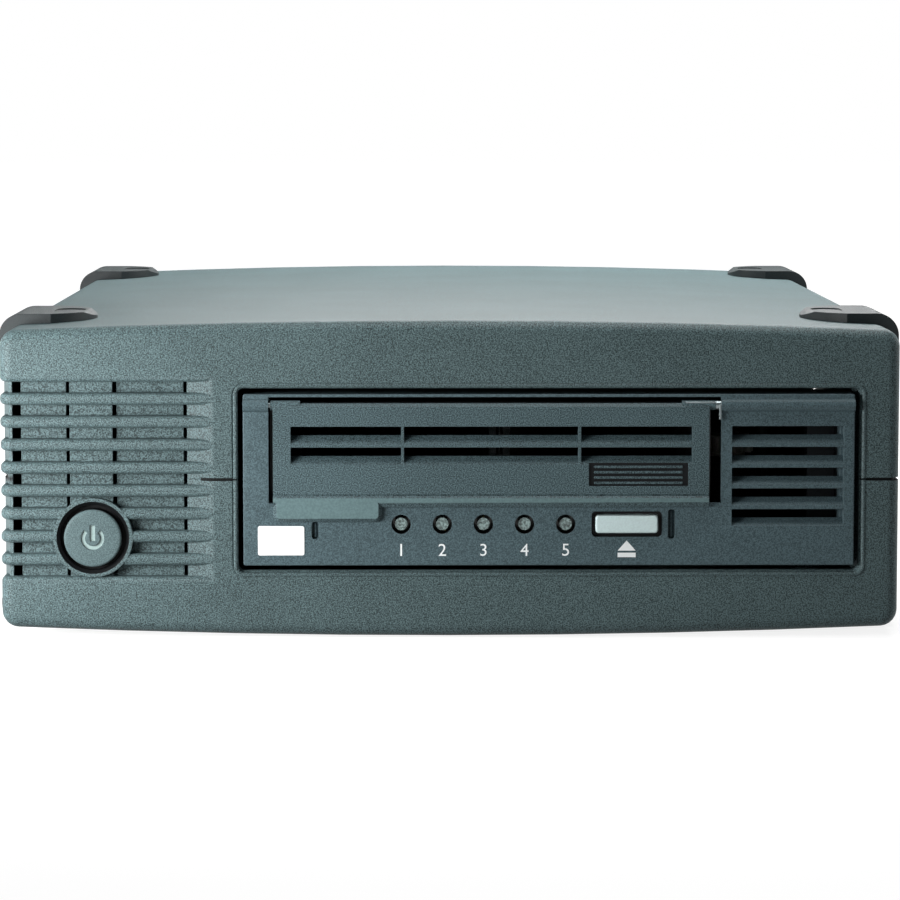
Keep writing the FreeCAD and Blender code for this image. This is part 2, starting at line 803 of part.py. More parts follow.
def make_case():
    """Top and bottom covers, from one envelope, one cavity and the same cutters."""
    envelope = make_envelope()
    cavity = crowned_slab("case_cavity", (front + front_wall, rear + 1), case_wall, 0.0)
    rebate = crowned_slab("case_rebate", (panel_in, rear + 1), rebate_wall, long_round - rebate_wall)
    shell = cut("case_shell", envelope, cavity, rebate)
    cutters = [make_bay_cutter(), make_louvre_cutter(), make_groove_cutter()]
    reach = side + 5
    y = (front - 5, rear + 5)
    upper = box("upper_space", (-reach, reach), y, (parting, case_top + 5))
    lower = box("lower_space", (-reach, reach), y, (case_bottom - 5, parting))

    upper_posts = [
        rod(f"upper_post_{n}", "Z", at, post_radius, parting, ground_top - skin_middle(at[0]))
        for n, at in enumerate(case_posts())
    ]
    pilots = post_set("case_pilot", case_posts(), screw_radius, lambda at: parting - 1, parting + 12)
    top_solid = fuse("top_cover_solid", common("top_half", shell, upper), *upper_posts, *panel_blocks(1))
    top = cut(
        "top_cover_cut", common("top_cover_trimmed", top_solid, envelope), *cutters, *pilots,
        *panel_bores("upper_panel_bore", screw_radius, panel_in - 9, panel_in + 1),
    )
    node("top_cover", top)

    floor_low = case_bottom + crown * 0.6 + case_wall / 2
    inner = case_wall / 2 - side
    floor = box(
        "bay_floor_block", (inner, bezel_left - 6), (front + front_wall / 2, panel_in), (floor_low, bay_floor)
    )
    lower_posts = post_set("lower_post", case_posts(), post_radius, lambda at: skin_middle(at[0]), parting)
    stands = post_set(
        "drive_post", drive_posts(), post_radius + 1, lambda at: skin_middle(at[0]), chassis_low
    )
    switch_stand = box(
        "switch_stand",
        (button_x - switch_side / 2, button_x + switch_side / 2),
        (front + stem_end() + 1.5, front + stem_end() + 1.5 + switch_side),
        (bay_floor - 1, button_z - switch_side / 2),
    )
    bores = []
    for name, places, seat, end in (
        ("case_bore", case_posts(), screw_seat(), parting + 1),
        ("drive_bore", drive_posts(), screw_seat() + 4, chassis_low + 1),
    ):
        for n, at in enumerate(places):
            bores.append(rod(f"{name}_{n}", "Z", at, screw_radius + screw_slack, seat - 1, end))
            bores.append(rod(f"{name}_sink_{n}", "Z", at, screw_head + screw_slack, case_bottom - 1, seat))
    hole = button_radius + button_gap
    button_hole = rod("button_hole", "Y", (button_x, button_z), hole, front - 1, front + front_wall + 1)
    collar = new_body("button_collar_cutter")
    loft(
        collar, "button_flare", "XZ",
        [
            (front, circle(button_x, button_z, hole + button_collar)),
            (front + button_collar, circle(button_x, button_z, hole)),
        ],
    )
    bottom_solid = fuse(
        "bottom_cover_solid", common("bottom_half", shell, lower), floor, *lower_posts, *stands,
        switch_stand, *panel_blocks(-1),
    )
    louvred = cut(
        "bottom_cover_louvred", common("bottom_cover_trimmed", bottom_solid, envelope), *cutters, *bores,
        *panel_bores("lower_panel_bore", screw_radius, panel_in - 9, panel_in + 1),
    )
    ring = rod("button_ring", "Y", (button_x, button_z), hole + button_rim, front, front + front_wall)
    bottom = cut("bottom_cover_cut", fuse("bottom_cover_ringed", louvred, ring), button_hole, collar)
    node("bottom_cover", bottom)
    screws = [
        screw(f"case_screw_{n}", "Z", at, screw_seat(), -1, parting + 10 - screw_seat())
        for n, at in enumerate(case_posts())
    ]
    node("case_screws", group("case_screw_set", *screws))
    return envelope


def screw_seat():
    """Height of the seats for the screws that go up through the bottom cover."""
    return case_bottom + crown + case_wall + head_height


def stem_end():
    """From the front of the case to the end of the power button's stem."""
    return front_wall + running_gap + 1.2 + stem_length


def make_feet(envelope):
    """Moulded feet that wrap over the case's long edges, four above and four below."""
    outer = side + foot_proud
    section = [
        (-outer, ground_top - foot_drop),
        (-outer, ground_top - foot_round, (
            foot_round * (1 - math.sqrt(0.5)) - outer,
            ground_top - foot_round * (1 - math.sqrt(0.5)),
            foot_round,
        )),
        (foot_round - outer, ground_top),
        (foot_reach - foot_slope - outer, ground_top),
        (foot_reach - outer, ground_top - foot_fall),
        (foot_reach - outer, ground_top - foot_drop),
    ]
    shapes = []
    for name, offset in (("front", foot_front), ("rear", foot_rear)):
        y0 = front + offset
        y1 = y0 + foot_length
        profile = new_body(f"foot_profile_{name}")
        pad(profile, f"foot_section_{name}", "XZ", (y0, y1), section)
        plan = new_body(f"foot_plan_{name}")
        tip = foot_reach - outer
        shoulder = tip - foot_tip
        half = foot_length / 2
        radius = (half * half + foot_tip * foot_tip) / (foot_tip * 2)
        pad(
            plan, f"foot_outline_{name}", "XY", (ground_top - foot_drop - 1, ground_top + 1),
            [
                (-outer - 1, y0),
                (shoulder, y0, (tip, y0 + half, radius)),
                (shoulder, y1),
                (-outer - 1, y1),
            ],
        )
        dimple = new_body(f"foot_dimple_{name}")
        dimple_end = tip - foot_slope - 0.4
        pad(
            dimple, f"foot_dimple_{name}_oval", "XY", (ground_top - dimple_deep, ground_top + 1),
            rounded(
                (dimple_end - dimple_width, dimple_end),
                (y0 + half - dimple_length / 2, y0 + half + dimple_length / 2), dimple_width * 0.49,
            ),
        )
        block = common(f"foot_block_{name}", profile, plan)
        shapes.append(cut(f"foot_{name}", block, envelope, dimple))
    left = group("feet_left", *shapes)
    across = Vector(1, 0, 0)
    right = mirrored("feet_right", left, across)
    node("top_feet", group("top_feet_set", left, right))
    middle = Vector(0, 0, float(parting))
    up = Vector(0, 0, 1)
    below = [mirrored(f"feet_below_{n}", half, up, middle) for n, half in enumerate((left, right))]
    for thing in below:
        bind(thing, "Base.z", parting)
    node("bottom_feet", group("bottom_feet_set", *below))


# ---------------------------------------------------------------- rear of the case
def make_rear_panel():
    body = new_body("rear_panel_sheet")
    fan_z = parting
    inset = rebate_wall + panel_gap
    for way, half in ((1, "upper"), (-1, "lower")):
        pad(
            body, f"panel_{half}", "XZ", (panel_in, panel_out),
            crowned(inset, long_round - rebate_wall, way),
        )
    cutouts = [circle(fan_x, fan_z, fan_bore)]
    for x, z in fan_corners():
        cutouts.append(circle(x, z, screw_radius + screw_slack))
    for x, z in panel_corners():
        cutouts.append(circle(x, z, screw_radius + screw_slack))
    for x, z in inlet_holes():
        cutouts.append(circle(x, z, screw_radius))
    cutouts.append(rectangle(*inlet_span(panel_gap)))
    cutouts.append(rectangle(*socket_span(panel_gap)))
    for x, z in board_corners():
        cutouts.append(circle(x, z, screw_radius + screw_slack))
    pocket(body, "panel_cutouts", "XZ", (panel_in - 1, panel_out + 1), *cutouts)
    node("rear_panel", body)
    return [
        screw(f"panel_screw_{n}", "Y", at, panel_out, 1, panel_thick + 8)
        for n, at in enumerate(panel_corners())
    ]


def fan_corners():
    reach = fan_side / 2 - 5
    return [(fan_x + way * reach, parting + up * reach) for way in (-1, 1) for up in (-1, 1)]


def inlet_holes():
    return [(inlet_x + way * inlet_ears / 2, parting) for way in (-1, 1)]


def inlet_span(gap):
    return (
        (inlet_x - inlet_width / 2 - gap, inlet_x + inlet_width / 2 + gap),
        (parting - inlet_height / 2 - gap, parting + inlet_height / 2 + gap),
    )


def socket_span(gap):
    return (
        (socket_x - socket_width / 2 - gap, socket_x + socket_width / 2 + gap),
        (parting - socket_height / 2 - gap, parting + socket_height / 2 + gap),
    )


def board_corners():
    reach = socket_width / 2 + 7
    return [(socket_x + way * reach, parting) for way in (-1, 1)]


def make_fan():
    """Axial fan: frame with a post, bladed rotor, wire guard and its screws."""
    z = parting
    y0 = panel_in - fan_deep
    frame = new_body("fan_frame_body")
    half = fan_side / 2
    square = rounded((fan_x - half, fan_x + half), (z - half, z + half), fan_corner)
    holes = [circle(x, up, screw_radius) for x, up in fan_corners()]
    pad(frame, "fan_square", "XZ", (y0, panel_in), square, *holes, circle(fan_x, z, fan_bore))
    struts = []
    for n, (wide, tall) in enumerate(((fan_bore + 0.5, 2.0), (2.0, fan_bore + 0.5))):
        strut_x = (fan_x - wide, fan_x + wide)
        struts.append(box(f"fan_strut_{n}", strut_x, (y0, y0 + 2.5), (z - tall, z + tall)))
    base = rod("fan_base", "Y", (fan_x, z), fan_hub, y0, y0 + 3)
    post = rod("fan_post", "Y", (fan_x, z), fan_post_radius, y0, panel_in - 3)
    node("fan_frame", fuse("fan_frame_fused", frame, *struts, base, post))

    rotor = new_body("fan_rotor_body")
    low = Size(0.0, "0") + 3.6
    high = fan_deep - 2
    hub_bore = fan_post_radius + running_gap
    pad(rotor, "rotor_hub", "XZ", (low, high), circle(0.0, 0.0, fan_hub), circle(0.0, 0.0, hub_bore))
    blade_low = low + 0.6
    blade_high = high - 0.6
    root = fan_hub - 0.8

    def blade(width):
        """A leaning blade's section, seen from the hub outwards."""
        return [(blade_low, -width), (blade_low, 1.4 - width), (blade_high, width), (blade_high, width - 1.4)]

    sections = [(root, blade(fan_hub * 0.42)), (fan_tip, blade(fan_tip * 0.3))]
    first = loft(rotor, "rotor_blade", "YZ", sections)
    in_ring(rotor, "rotor_blades", [first], "Y", blade_count)
    place_body(rotor, fan_x, y0, z)
    node("fan_rotor", rotor)

    guard = new_body("fan_guard_body")
    span = (panel_out, panel_out + guard_thick)
    for n in range(3):
        outer = fan_bore - n * (fan_bore - fan_hub) / 2.6
        ring = (circle(fan_x, z, outer), circle(fan_x, z, outer - guard_wire))
        pad(guard, f"guard_ring_{n}", "XZ", span, *ring)
    reach = fan_side / 2 - 5
    arms = []
    for n, (dx, dz) in enumerate(((1, 1), (1, -1))):
        long = reach * math.sqrt(2)
        arm = doc.addObject("Part::Box", f"guard_arm_{n}")
        bind(arm, "Length", long * 2)
        bind(arm, "Width", guard_thick)
        bind(arm, "Height", guard_wire)
        arm.Placement = Placement(Vector(), Rotation(Vector(0, 1, 0), -45 * dx * dz))
        lean = math.sqrt(0.5)
        bind(arm, "Placement.Base.x", fan_x - long * lean + guard_wire * (lean / 2) * dx * dz)
        bind(arm, "Placement.Base.y", panel_out)
        bind(arm, "Placement.Base.z", z - long * lean * dx * dz - guard_wire * (lean / 2))
        arms.append(arm)
    eyes = [
        rod(f"guard_eye_{n}", "Y", at, screw_head, panel_out, panel_out + guard_thick)
        for n, at in enumerate(fan_corners())
    ]
    holes = [
        rod(
            f"guard_hole_{n}", "Y", at, screw_radius + screw_slack, panel_out - 1,
            panel_out + guard_thick + 1,
        )
        for n, at in enumerate(fan_corners())
    ]
    node("fan_guard", cut("fan_guard_cut", fuse("fan_guard_fused", guard, *arms, *eyes), *holes))
    screws = [
        screw(f"fan_screw_{n}", "Y", at, panel_out + guard_thick, 1, guard_thick + panel_thick + 8)
        for n, at in enumerate(fan_corners())
    ]
    node("fan_screws", group("fan_screw_set", *screws))



def make_power_inlet():
    """Three-pin appliance inlet: flanged housing, its blades and its screws."""
    span = inlet_span(0.0)
    y_low = panel_out - inlet_deep
    y_high = panel_out + inlet_flange
    body = new_body("inlet_body")
    pad(body, "inlet_block", "XZ", (y_low, panel_out), rectangle(*span))
    (x0, x1), (z0, z1) = span
    ear = inlet_ears / 2 + screw_head + 1
    lap = 1.5
    flange = rounded((inlet_x - ear, inlet_x + ear), (z0 - lap, z1 + lap), screw_head)
    pad(body, "inlet_flange_plate", "XZ", (panel_out, y_high), flange)
    clip = inlet_height / 3
    low_x, high_x = x0 + inlet_shell, x1 - inlet_shell
    low_z, high_z = z0 + inlet_shell, z1 - inlet_shell
    mouth = [
        (low_x, low_z), (high_x, low_z), (high_x, high_z - clip / 2), (high_x - clip, high_z),
        (low_x + clip, high_z), (low_x, high_z - clip / 2),
    ]
    pocket(body, "inlet_mouth", "XZ", (y_high - inlet_cavity, y_high + 1), mouth)
    pocket(
        body, "inlet_screw_holes", "XZ", (panel_out - 1, y_high + 1),
        *[circle(x, z, screw_radius + screw_slack) for x, z in inlet_holes()],
    )
    node("power_inlet", body)
    pins = []
    for n, (dx, dz) in enumerate(((-7.0, -1.4), (7.0, -1.4), (0.0, 2.6))):
        x = inlet_x + dx
        z = parting + dz
        pin_y = (y_high - inlet_cavity, y_high - 3)
        pins.append(box(f"inlet_pin_{n}", (x - 1, x + 1), pin_y, (z - 2, z + 2)))
    node("inlet_pins", group("inlet_pin_set", *pins))
    return [
        screw(f"inlet_screw_{n}", "Y", at, y_high, 1, inlet_flange + panel_thick + 4)
        for n, at in enumerate(inlet_holes())
    ]


def make_data_socket():
    """The external data socket on its small interface board behind the rear panel."""
    board_back = panel_in - board_offset
    board_front = board_back - board_thick
    reach = socket_width / 2 + 7 + screw_head + 1
    tall = socket_height / 2 + 8
    board = new_body("interface_board_sheet")
    outline = rectangle((socket_x - reach, socket_x + reach), (parting - tall, parting + tall))
    pad(
        board, "interface_board_plate", "XZ", (board_front, board_back), outline,
        *[circle(x, z, screw_radius + screw_slack) for x, z in board_corners()],
    )
    node("interface_board", board)
    shell = new_body("socket_shell_body")
    span = socket_span(0.0)
    end = panel_out + 1
    pad(shell, "socket_block", "XZ", (board_back, end), rounded(*span, 1.0))
    (x0, x1), (z0, z1) = span
    pocket(
        shell, "socket_mouth", "XZ", (end - 12, end + 1),
        rounded((x0 + socket_shell, x1 - socket_shell), (z0 + socket_shell, z1 - socket_shell), 0.4),
    )
    node("data_socket_shell", shell)
    tongue = box("socket_tongue", (x0 + 3, x1 - 3), (board_back, end - 3), (z0 + 2.2, z0 + 3.6))
    node("data_socket_contacts", tongue)
    spacers = []
    for n, at in enumerate(board_corners()):
        outer = rod(f"spacer_{n}", "Y", at, screw_head, board_back, panel_in)
        hole = rod(f"spacer_hole_{n}", "Y", at, screw_radius, board_back - 1, panel_in + 1)
        spacers.append(cut(f"spacer_cut_{n}", outer, hole))
    node("board_spacers", group("board_spacer_set", *spacers))
    return [
        screw(f"board_screw_{n}", "Y", at, panel_out, 1, panel_thick + board_offset + board_thick)
        for n, at in enumerate(board_corners())
    ]


# ---------------------------------------------------------------- supply bay, at the left
def make_supply():
    """Switch-mode supply on a folded tray, behind the louvres."""
    left = case_wall - side + 8
    right = bezel_left - 4
    y0 = front + 44
    y1 = rear - 60
    floor = (bay_floor, bay_floor + tray_sheet)
    tray = box("supply_tray_floor", (left, right), (y0, y1), floor)
    walls = [
        box("supply_wall_left", (left, left + tray_sheet), (y0, y1), (bay_floor, parting)),
        box("supply_wall_right", (right - tray_sheet, right), (y0, y1), (bay_floor, bezel_top)),
    ]
    posts = []
    board_low = bay_floor + 7
    inset = 6
    for n, (x, y) in enumerate(
        (x, y) for x in (left + inset, right - inset) for y in (y0 + inset, y1 - inset)
    ):
        posts.append(rod(f"supply_post_{n}", "Z", (x, y), 2.5, bay_floor, board_low))
    node("supply_tray", fuse("supply_tray_fused", tray, *walls, *posts))
    top = board_low + board_thick
    node("supply_board", box("supply_board_plate", (left + 3, right - 3), (y0 + 3, y1 - 3), (board_low, top)))
    center = (left + right) / 2
    core = box("transformer_core", (center - 12, center + 12), (y0 + 70, y0 + 98), (top, top + 6))
    limb = box("transformer_limb", (center - 5, center + 5), (y0 + 70, y0 + 98), (top, top + 24))
    yoke = box("transformer_yoke", (center - 12, center + 12), (y0 + 70, y0 + 98), (top + 18, top + 24))
    winding = box("transformer_winding", (center - 10, center + 10), (y0 + 74, y0 + 94), (top + 5, top + 19))
    node("supply_transformer", fuse("transformer_fused", core, limb, yoke, winding))
    cans = [
        rod("supply_can_0", "Z", (center - 8, y0 + 28), 7.5, top, top + 26),
        rod("supply_can_1", "Z", (center + 9, y0 + 28), 7.5, top, top + 26),
        rod("supply_can_2", "Z", (center, y0 + 50), 6.0, top, top + 20),
    ]
    node("supply_capacitors", group("supply_can_set", *cans))
    sink = new_body("heat_sink_body")
    sink_x = right - 12
    pad(
        sink, "heat_sink_plate", "XY", (top, top + 28),
        rectangle((sink_x, sink_x + 2.5), (y0 + 106, y0 + 150)),
    )
    fin = pad(
        sink, "heat_sink_fin", "XY", (top + 4, top + 28),
        rectangle((sink_x - 6, sink_x + 0.5), (y0 + 107, y0 + 108.4)),
    )
    in_line(sink, "heat_sink_fins", [fin], "Y", Size(6.0, "6"), 8)
    node("supply_heatsink", sink)
    baffle = new_body("intake_baffle_sheet")
    baffle_y = (front + front_wall, front + front_wall + baffle_thick)
    clear = button_radius + button_gap + button_flange + baffle_slit / 2
    pad(
        baffle, "baffle_plate", "XZ", baffle_y,
        rectangle((window_lip + 2 - side, bezel_left - 6.5), (bay_floor, case_top - crown - case_wall - 3)),
        circle(button_x, button_z, clear),
    )
    outer_end = window_lip + window_outer - side
    inner_end = louvre_inner - side
    inner_start = outer_end + window_post
    tall = (parting - louvre_pitch * louvre_rows / 2, parting + louvre_pitch * louvre_rows / 2)
    pocket(
        baffle, "baffle_slits", "XZ", (baffle_y[0] - 1, baffle_y[1] + 1),
        rectangle((outer_end - baffle_slit, outer_end + baffle_slit), tall),
        rectangle((inner_start - baffle_slit, inner_start + baffle_slit), tall),
        rectangle((inner_end - baffle_slit, inner_end + baffle_slit), tall),
    )
    node("intake_baffle", baffle)


def make_power_button():
    """Round push button with a retaining flange and a stem that reaches the switch."""
    at = (button_x, button_z)
    cap = new_body("power_button_body")
    inner = front + front_wall
    pad(cap, "button_cap", "XZ", (front - button_proud, inner + running_gap), circle(*at, button_radius))
    pad(
        cap, "button_flange", "XZ", (inner + running_gap, inner + running_gap + 1.2),
        circle(*at, button_radius + button_gap + button_flange),
    )
    soften(
        cap, "button_edge", "Fillet", 0.6,
        lambda b: b.YMax < front - button_proud + 0.01,
    )
    stem = rod("button_stem", "Y", at, stem_radius, inner + 0.5, front + stem_end())
    sunk = (front - button_proud - 1, front - button_proud + symbol_depth)
    opening = new_body("symbol_opening")
    reach = symbol_radius * 1.4
    pad(
        opening, "symbol_wedge", "XZ", sunk,
        [at, (button_x + reach, button_z + reach), (button_x - reach, button_z + reach)],
    )
    arc = cut(
        "symbol_arc", rod("symbol_disc", "Y", at, symbol_radius, *sunk),
        rod("symbol_core", "Y", at, symbol_radius - symbol_line, *sunk), opening,
    )
    half_line = symbol_line * 0.65
    bar = box(
        "symbol_bar", (button_x - half_line, button_x + half_line), sunk,
        (button_z - symbol_line * 0.7, button_z + symbol_radius * 1.13),
    )
    node("power_button", cut("power_button_cut", fuse("power_button_fused", cap, stem), arc, bar))
    half = switch_side / 2
    y0 = front + stem_end() + button_travel + 0.9
    switch = box(
        "switch_case", (button_x - half, button_x + half), (y0, y0 + switch_side),
        (button_z - half, button_z + half),
    )
    plunger_y = front + stem_end() + button_travel + 0.1
    plunger = rod("switch_plunger", "Y", at, stem_radius - 0.5, plunger_y, y0 + 1)
    node("power_switch", fuse("power_switch_fused", switch, plunger))


# ---------------------------------------------------------------- mechanism: chassis and bezel
def make_chassis():
    x = (chassis_left, chassis_right)
    y = (bezel_back, chassis_back)
    body = new_body("chassis_body")
    pad(body, "chassis_block", "XY", (chassis_low, lid_low), rectangle(x, y))
    inner_x = (x[0] + chassis_wall, x[1] - chassis_wall)
    pocket(
        body, "chassis_hollow", "XY", (deck, lid_low + 1),
        rectangle(inner_x, (y[0] - 1, y[1] - chassis_wall)),
    )
    pocket(
        body, "chassis_mounts", "XY", (chassis_low - 1, deck + 1),
        *[circle(*at, screw_radius) for at in drive_posts()],
    )
    pocket(
        body, "chassis_rear_ports", "XZ", (y[1] - chassis_wall - 1, y[1] + 1),
        rectangle(*port_span()),
    )
    corners = lid_corners()
    blocks = [
        box(f"lid_block_{n}", (px - 3.4, px + 3.4), (py - 3.4, py + 3.4), (deck - 0.5, lid_low))
        for n, (px, py) in enumerate(corners)
    ]
    bores = [
        rod(f"lid_bore_{n}", "Z", at, screw_radius, lid_low - 8, lid_low + 1)
        for n, at in enumerate(corners)
    ]
    node("drive_chassis", cut("chassis_cut", fuse("chassis_fused", body, *blocks), *bores))
    lid = new_body("lid_sheet")
    pad(lid, "lid_plate", "XY", (lid_low, lid_low + lid_thick), rectangle(x, y))
    pocket(
        lid, "lid_holes", "XY", (lid_low - 1, lid_low + lid_thick + 1),
        *[circle(*at, screw_radius + screw_slack) for at in corners],
    )
    x, y, high = main_board_span()
    posts = [
        rod(f"main_post_{n}", "Z", (px, py), 2.5, high, lid_low + 0.2)
        for n, (px, py) in enumerate((px, py) for px in (x[0] + 6, x[1] - 12) for py in (y[0] + 6, y[1] - 6))
    ]
    node("drive_lid", fuse("lid_fused", lid, *posts))
    screws = [
        screw(f"lid_screw_{n}", "Z", at, lid_low + lid_thick, 1, lid_thick + 6)
        for n, at in enumerate(corners)
    ]
    node("lid_screws", group("lid_screw_set", *screws))
    screws = [
        screw(f"drive_screw_{n}", "Z", at, screw_seat() + 4, -1, deck - screw_seat() - 4)
        for n, at in enumerate(drive_posts())
    ]
    node("drive_screws", group("drive_screw_set", *screws))


def lid_corners():
    step = chassis_wall + 3.5
    behind_tray = bezel_back + cartridge_length + tray_travel + 10
    return [
        (chassis_left + step, behind_tray),
        (chassis_left + step, chassis_back - step),
        (chassis_right - step, bezel_back + step + 2),
        (chassis_right - step, chassis_back - step),
    ]


def port_span():
    """The mechanism's own connector, through the chassis's rear wall."""
    return ((drive_center - 40, drive_center + 10), (deck + 1.5, deck + 8.5))


def slope_cutter(name, x, z_tops, y):
    """Slots whose floor slopes up inwards, like fixed louvre blades."""
    body = new_body(name)
    y0, y1 = y
    for n, top in enumerate(z_tops):
        low = top - grille_slot
        pad(
            body, f"{name}_{n}", "YZ", x,
            [(y0, low), (y0, top), (y1, top), (y1, low + vent_slope)],
        )
    return body


def make_bezel():
    x = (bezel_left, bezel_right)
    z = (bezel_bottom, bezel_top)
    back = bezel_face + bezel_wall
    body = new_body("bezel_body")
    pad(body, "bezel_block", "XZ", (bezel_face, bezel_back), rounded(x, z, bezel_corner))
    soften(body, "bezel_edge", "Fillet", bezel_corner / 2, lambda b: b.YMax < bezel_face + 0.01)
    rim = 1.6
    mouth = rectangle((mouth_x, mouth_end), (mouth_low, mouth_high))
    pocket(
        body, "bezel_hollow", "XZ", (back, bezel_back + 1),
        rectangle((x[0] + bezel_rim, x[1] - bezel_rim), (z[0] + rim, z[1] - mouth_top)),
    )
    pocket(body, "bezel_mouth", "XZ", (bezel_face - 1, back + 1), mouth)
    lamps = [circle(*at, lamp_hole) for at in lamp_places()]
    eject_x, eject_z = eject_span(eject_gap)
    pocket(
        body, "bezel_holes", "XZ", (bezel_face - 1, back + 1), *lamps,
        rounded(*eject_span(eject_slack), 0.8),
    )
    latch_z = z[0] + latch_low
    latch_x = (door_x + latch_left, door_end - latch_right)
    latches = [
        ((latch_x[0], latch_x[0] + latch_slot), (latch_z, lip_low - tab_drop - 0.1)),
        ((latch_x[1], latch_x[1] + latch_slot), (latch_z, lip_low - 0.7)),
    ]
    pocket(
        body, "bezel_recesses", "XZ", (bezel_face - 1, bezel_face + latch_deep),
        rounded(eject_x, eject_z, 1.0), *[rounded(*span, latch_slot * 0.4) for span in latches],
    )
    tongues = [
        rod(
            f"latch_tongue_{n}", "Z", ((span[0] + span[1]) / 2, bezel_face + latch_deep), latch_slot * 0.26,
            rise[0] + latch_slot / 4, rise[1] - latch_slot / 4,
        )
        for n, (span, rise) in enumerate(latches)
    ]
    tops = [bezel_bottom + grille_top - grille_pitch * n for n in range(int(grille_rows))]
    grille = slope_cutter(
        "grille_cutter", (x[0] + grille_left, x[0] + grille_left + grille_width), tops,
        (bezel_face - 0.01, back + 0.01),
    )
    bars = []
    pins = []
    for name, low, high in (("left", x[0], mouth_x), ("right", mouth_end, x[1])):
        bars.append(rod(f"hinge_bar_{name}", "X", (front, hinge_z), hinge_bar, low, high))
    for n, (low, high) in enumerate(pin_spans()):
        pins.append(rod(f"pin_bore_{n}", "X", (front, hinge_z), pin_radius, low, high))
    bosses = [
        rod(f"board_boss_{n}", "Y", at, 2.0, back - 0.5, board_front_y())
        for n, at in enumerate(front_board_corners())
    ]
    node("drive_bezel", cut("bezel_cut", fuse("bezel_fused", body, *bars, *bosses, *tongues), grille, *pins))


def lamp_places():
    x = bezel_left + lamp_first
    return [(x + lamp_pitch * n, bezel_bottom + lamp_height) for n in range(5)]


def eject_span(gap):
    x = bezel_left + eject_left
    z = bezel_bottom + lamp_height - eject_height / 2
    return ((x - gap, x + eject_width + gap), (z - gap, z + eject_height + gap))


def board_front_y():
    """Front face of the indicator board behind the bezel."""
    return bezel_face + bezel_wall + 4.6


def front_board_corners():
    z = bezel_bottom + lamp_height
    return [(lamp_places()[0][0] - 8, z), (eject_span(0.0)[0][1] + 6, z)]


def pin_spans():
    """The two hinge pins, each from inside a bar to inside the door's ear."""
    return [
        (mouth_x - pin_hold, door_x + ear_length - 1),
        (door_end - ear_length + 1, mouth_end + pin_hold - 1),
    ]


def make_front_board():
    """Indicator board with its light pipes and the eject switch."""
    y0 = board_front_y()
    z = bezel_bottom + lamp_height
    corners = front_board_corners()
    board = box(
        "front_board_plate", (corners[0][0] - 3, corners[1][0] + 3), (y0, y0 + 1.0), (z - 5.0, z + 3.6)
    )
    node("front_board", board)
    pipes = [
        rod(f"lamp_{n}", "Y", at, lamp_radius, bezel_face + lamp_recess, y0)
        for n, at in enumerate(lamp_places())
    ]
    node("indicator_lenses", group("lamp_set", *pipes))
    (x0, x1), (z0, z1) = eject_span(0.0)
    x_mid = (x0 + x1) / 2
    z_mid = (z0 + z1) / 2
    back = bezel_face + bezel_wall
    cap = new_body("eject_button_body")
    cap_y = (bezel_face - eject_proud, back + running_gap)
    pad(cap, "eject_cap", "XZ", cap_y, rounded((x0, x1), (z0, z1), 0.8))
    soften(cap, "eject_edge", "Fillet", 0.4, lambda b: b.YMax < bezel_face - eject_proud + 0.01)
    flange = box(
        "eject_flange", (x0 - eject_gap, x1 + eject_gap), (back + running_gap, back + 1.0),
        (z0 - eject_gap, z1 + eject_gap),
    )
    node("eject_button", fuse("eject_button_fused", cap, flange))
    switch = box("eject_switch_case", (x_mid - 3, x_mid + 3), (y0 - 2.3, y0), (z_mid - 3, z_mid + 3))
    plunger = rod("eject_plunger", "Y", (x_mid, z_mid), 1.7, back + 1.1 + eject_travel, y0 - 1)
    node("eject_switch", fuse("eject_switch_fused", switch, plunger))


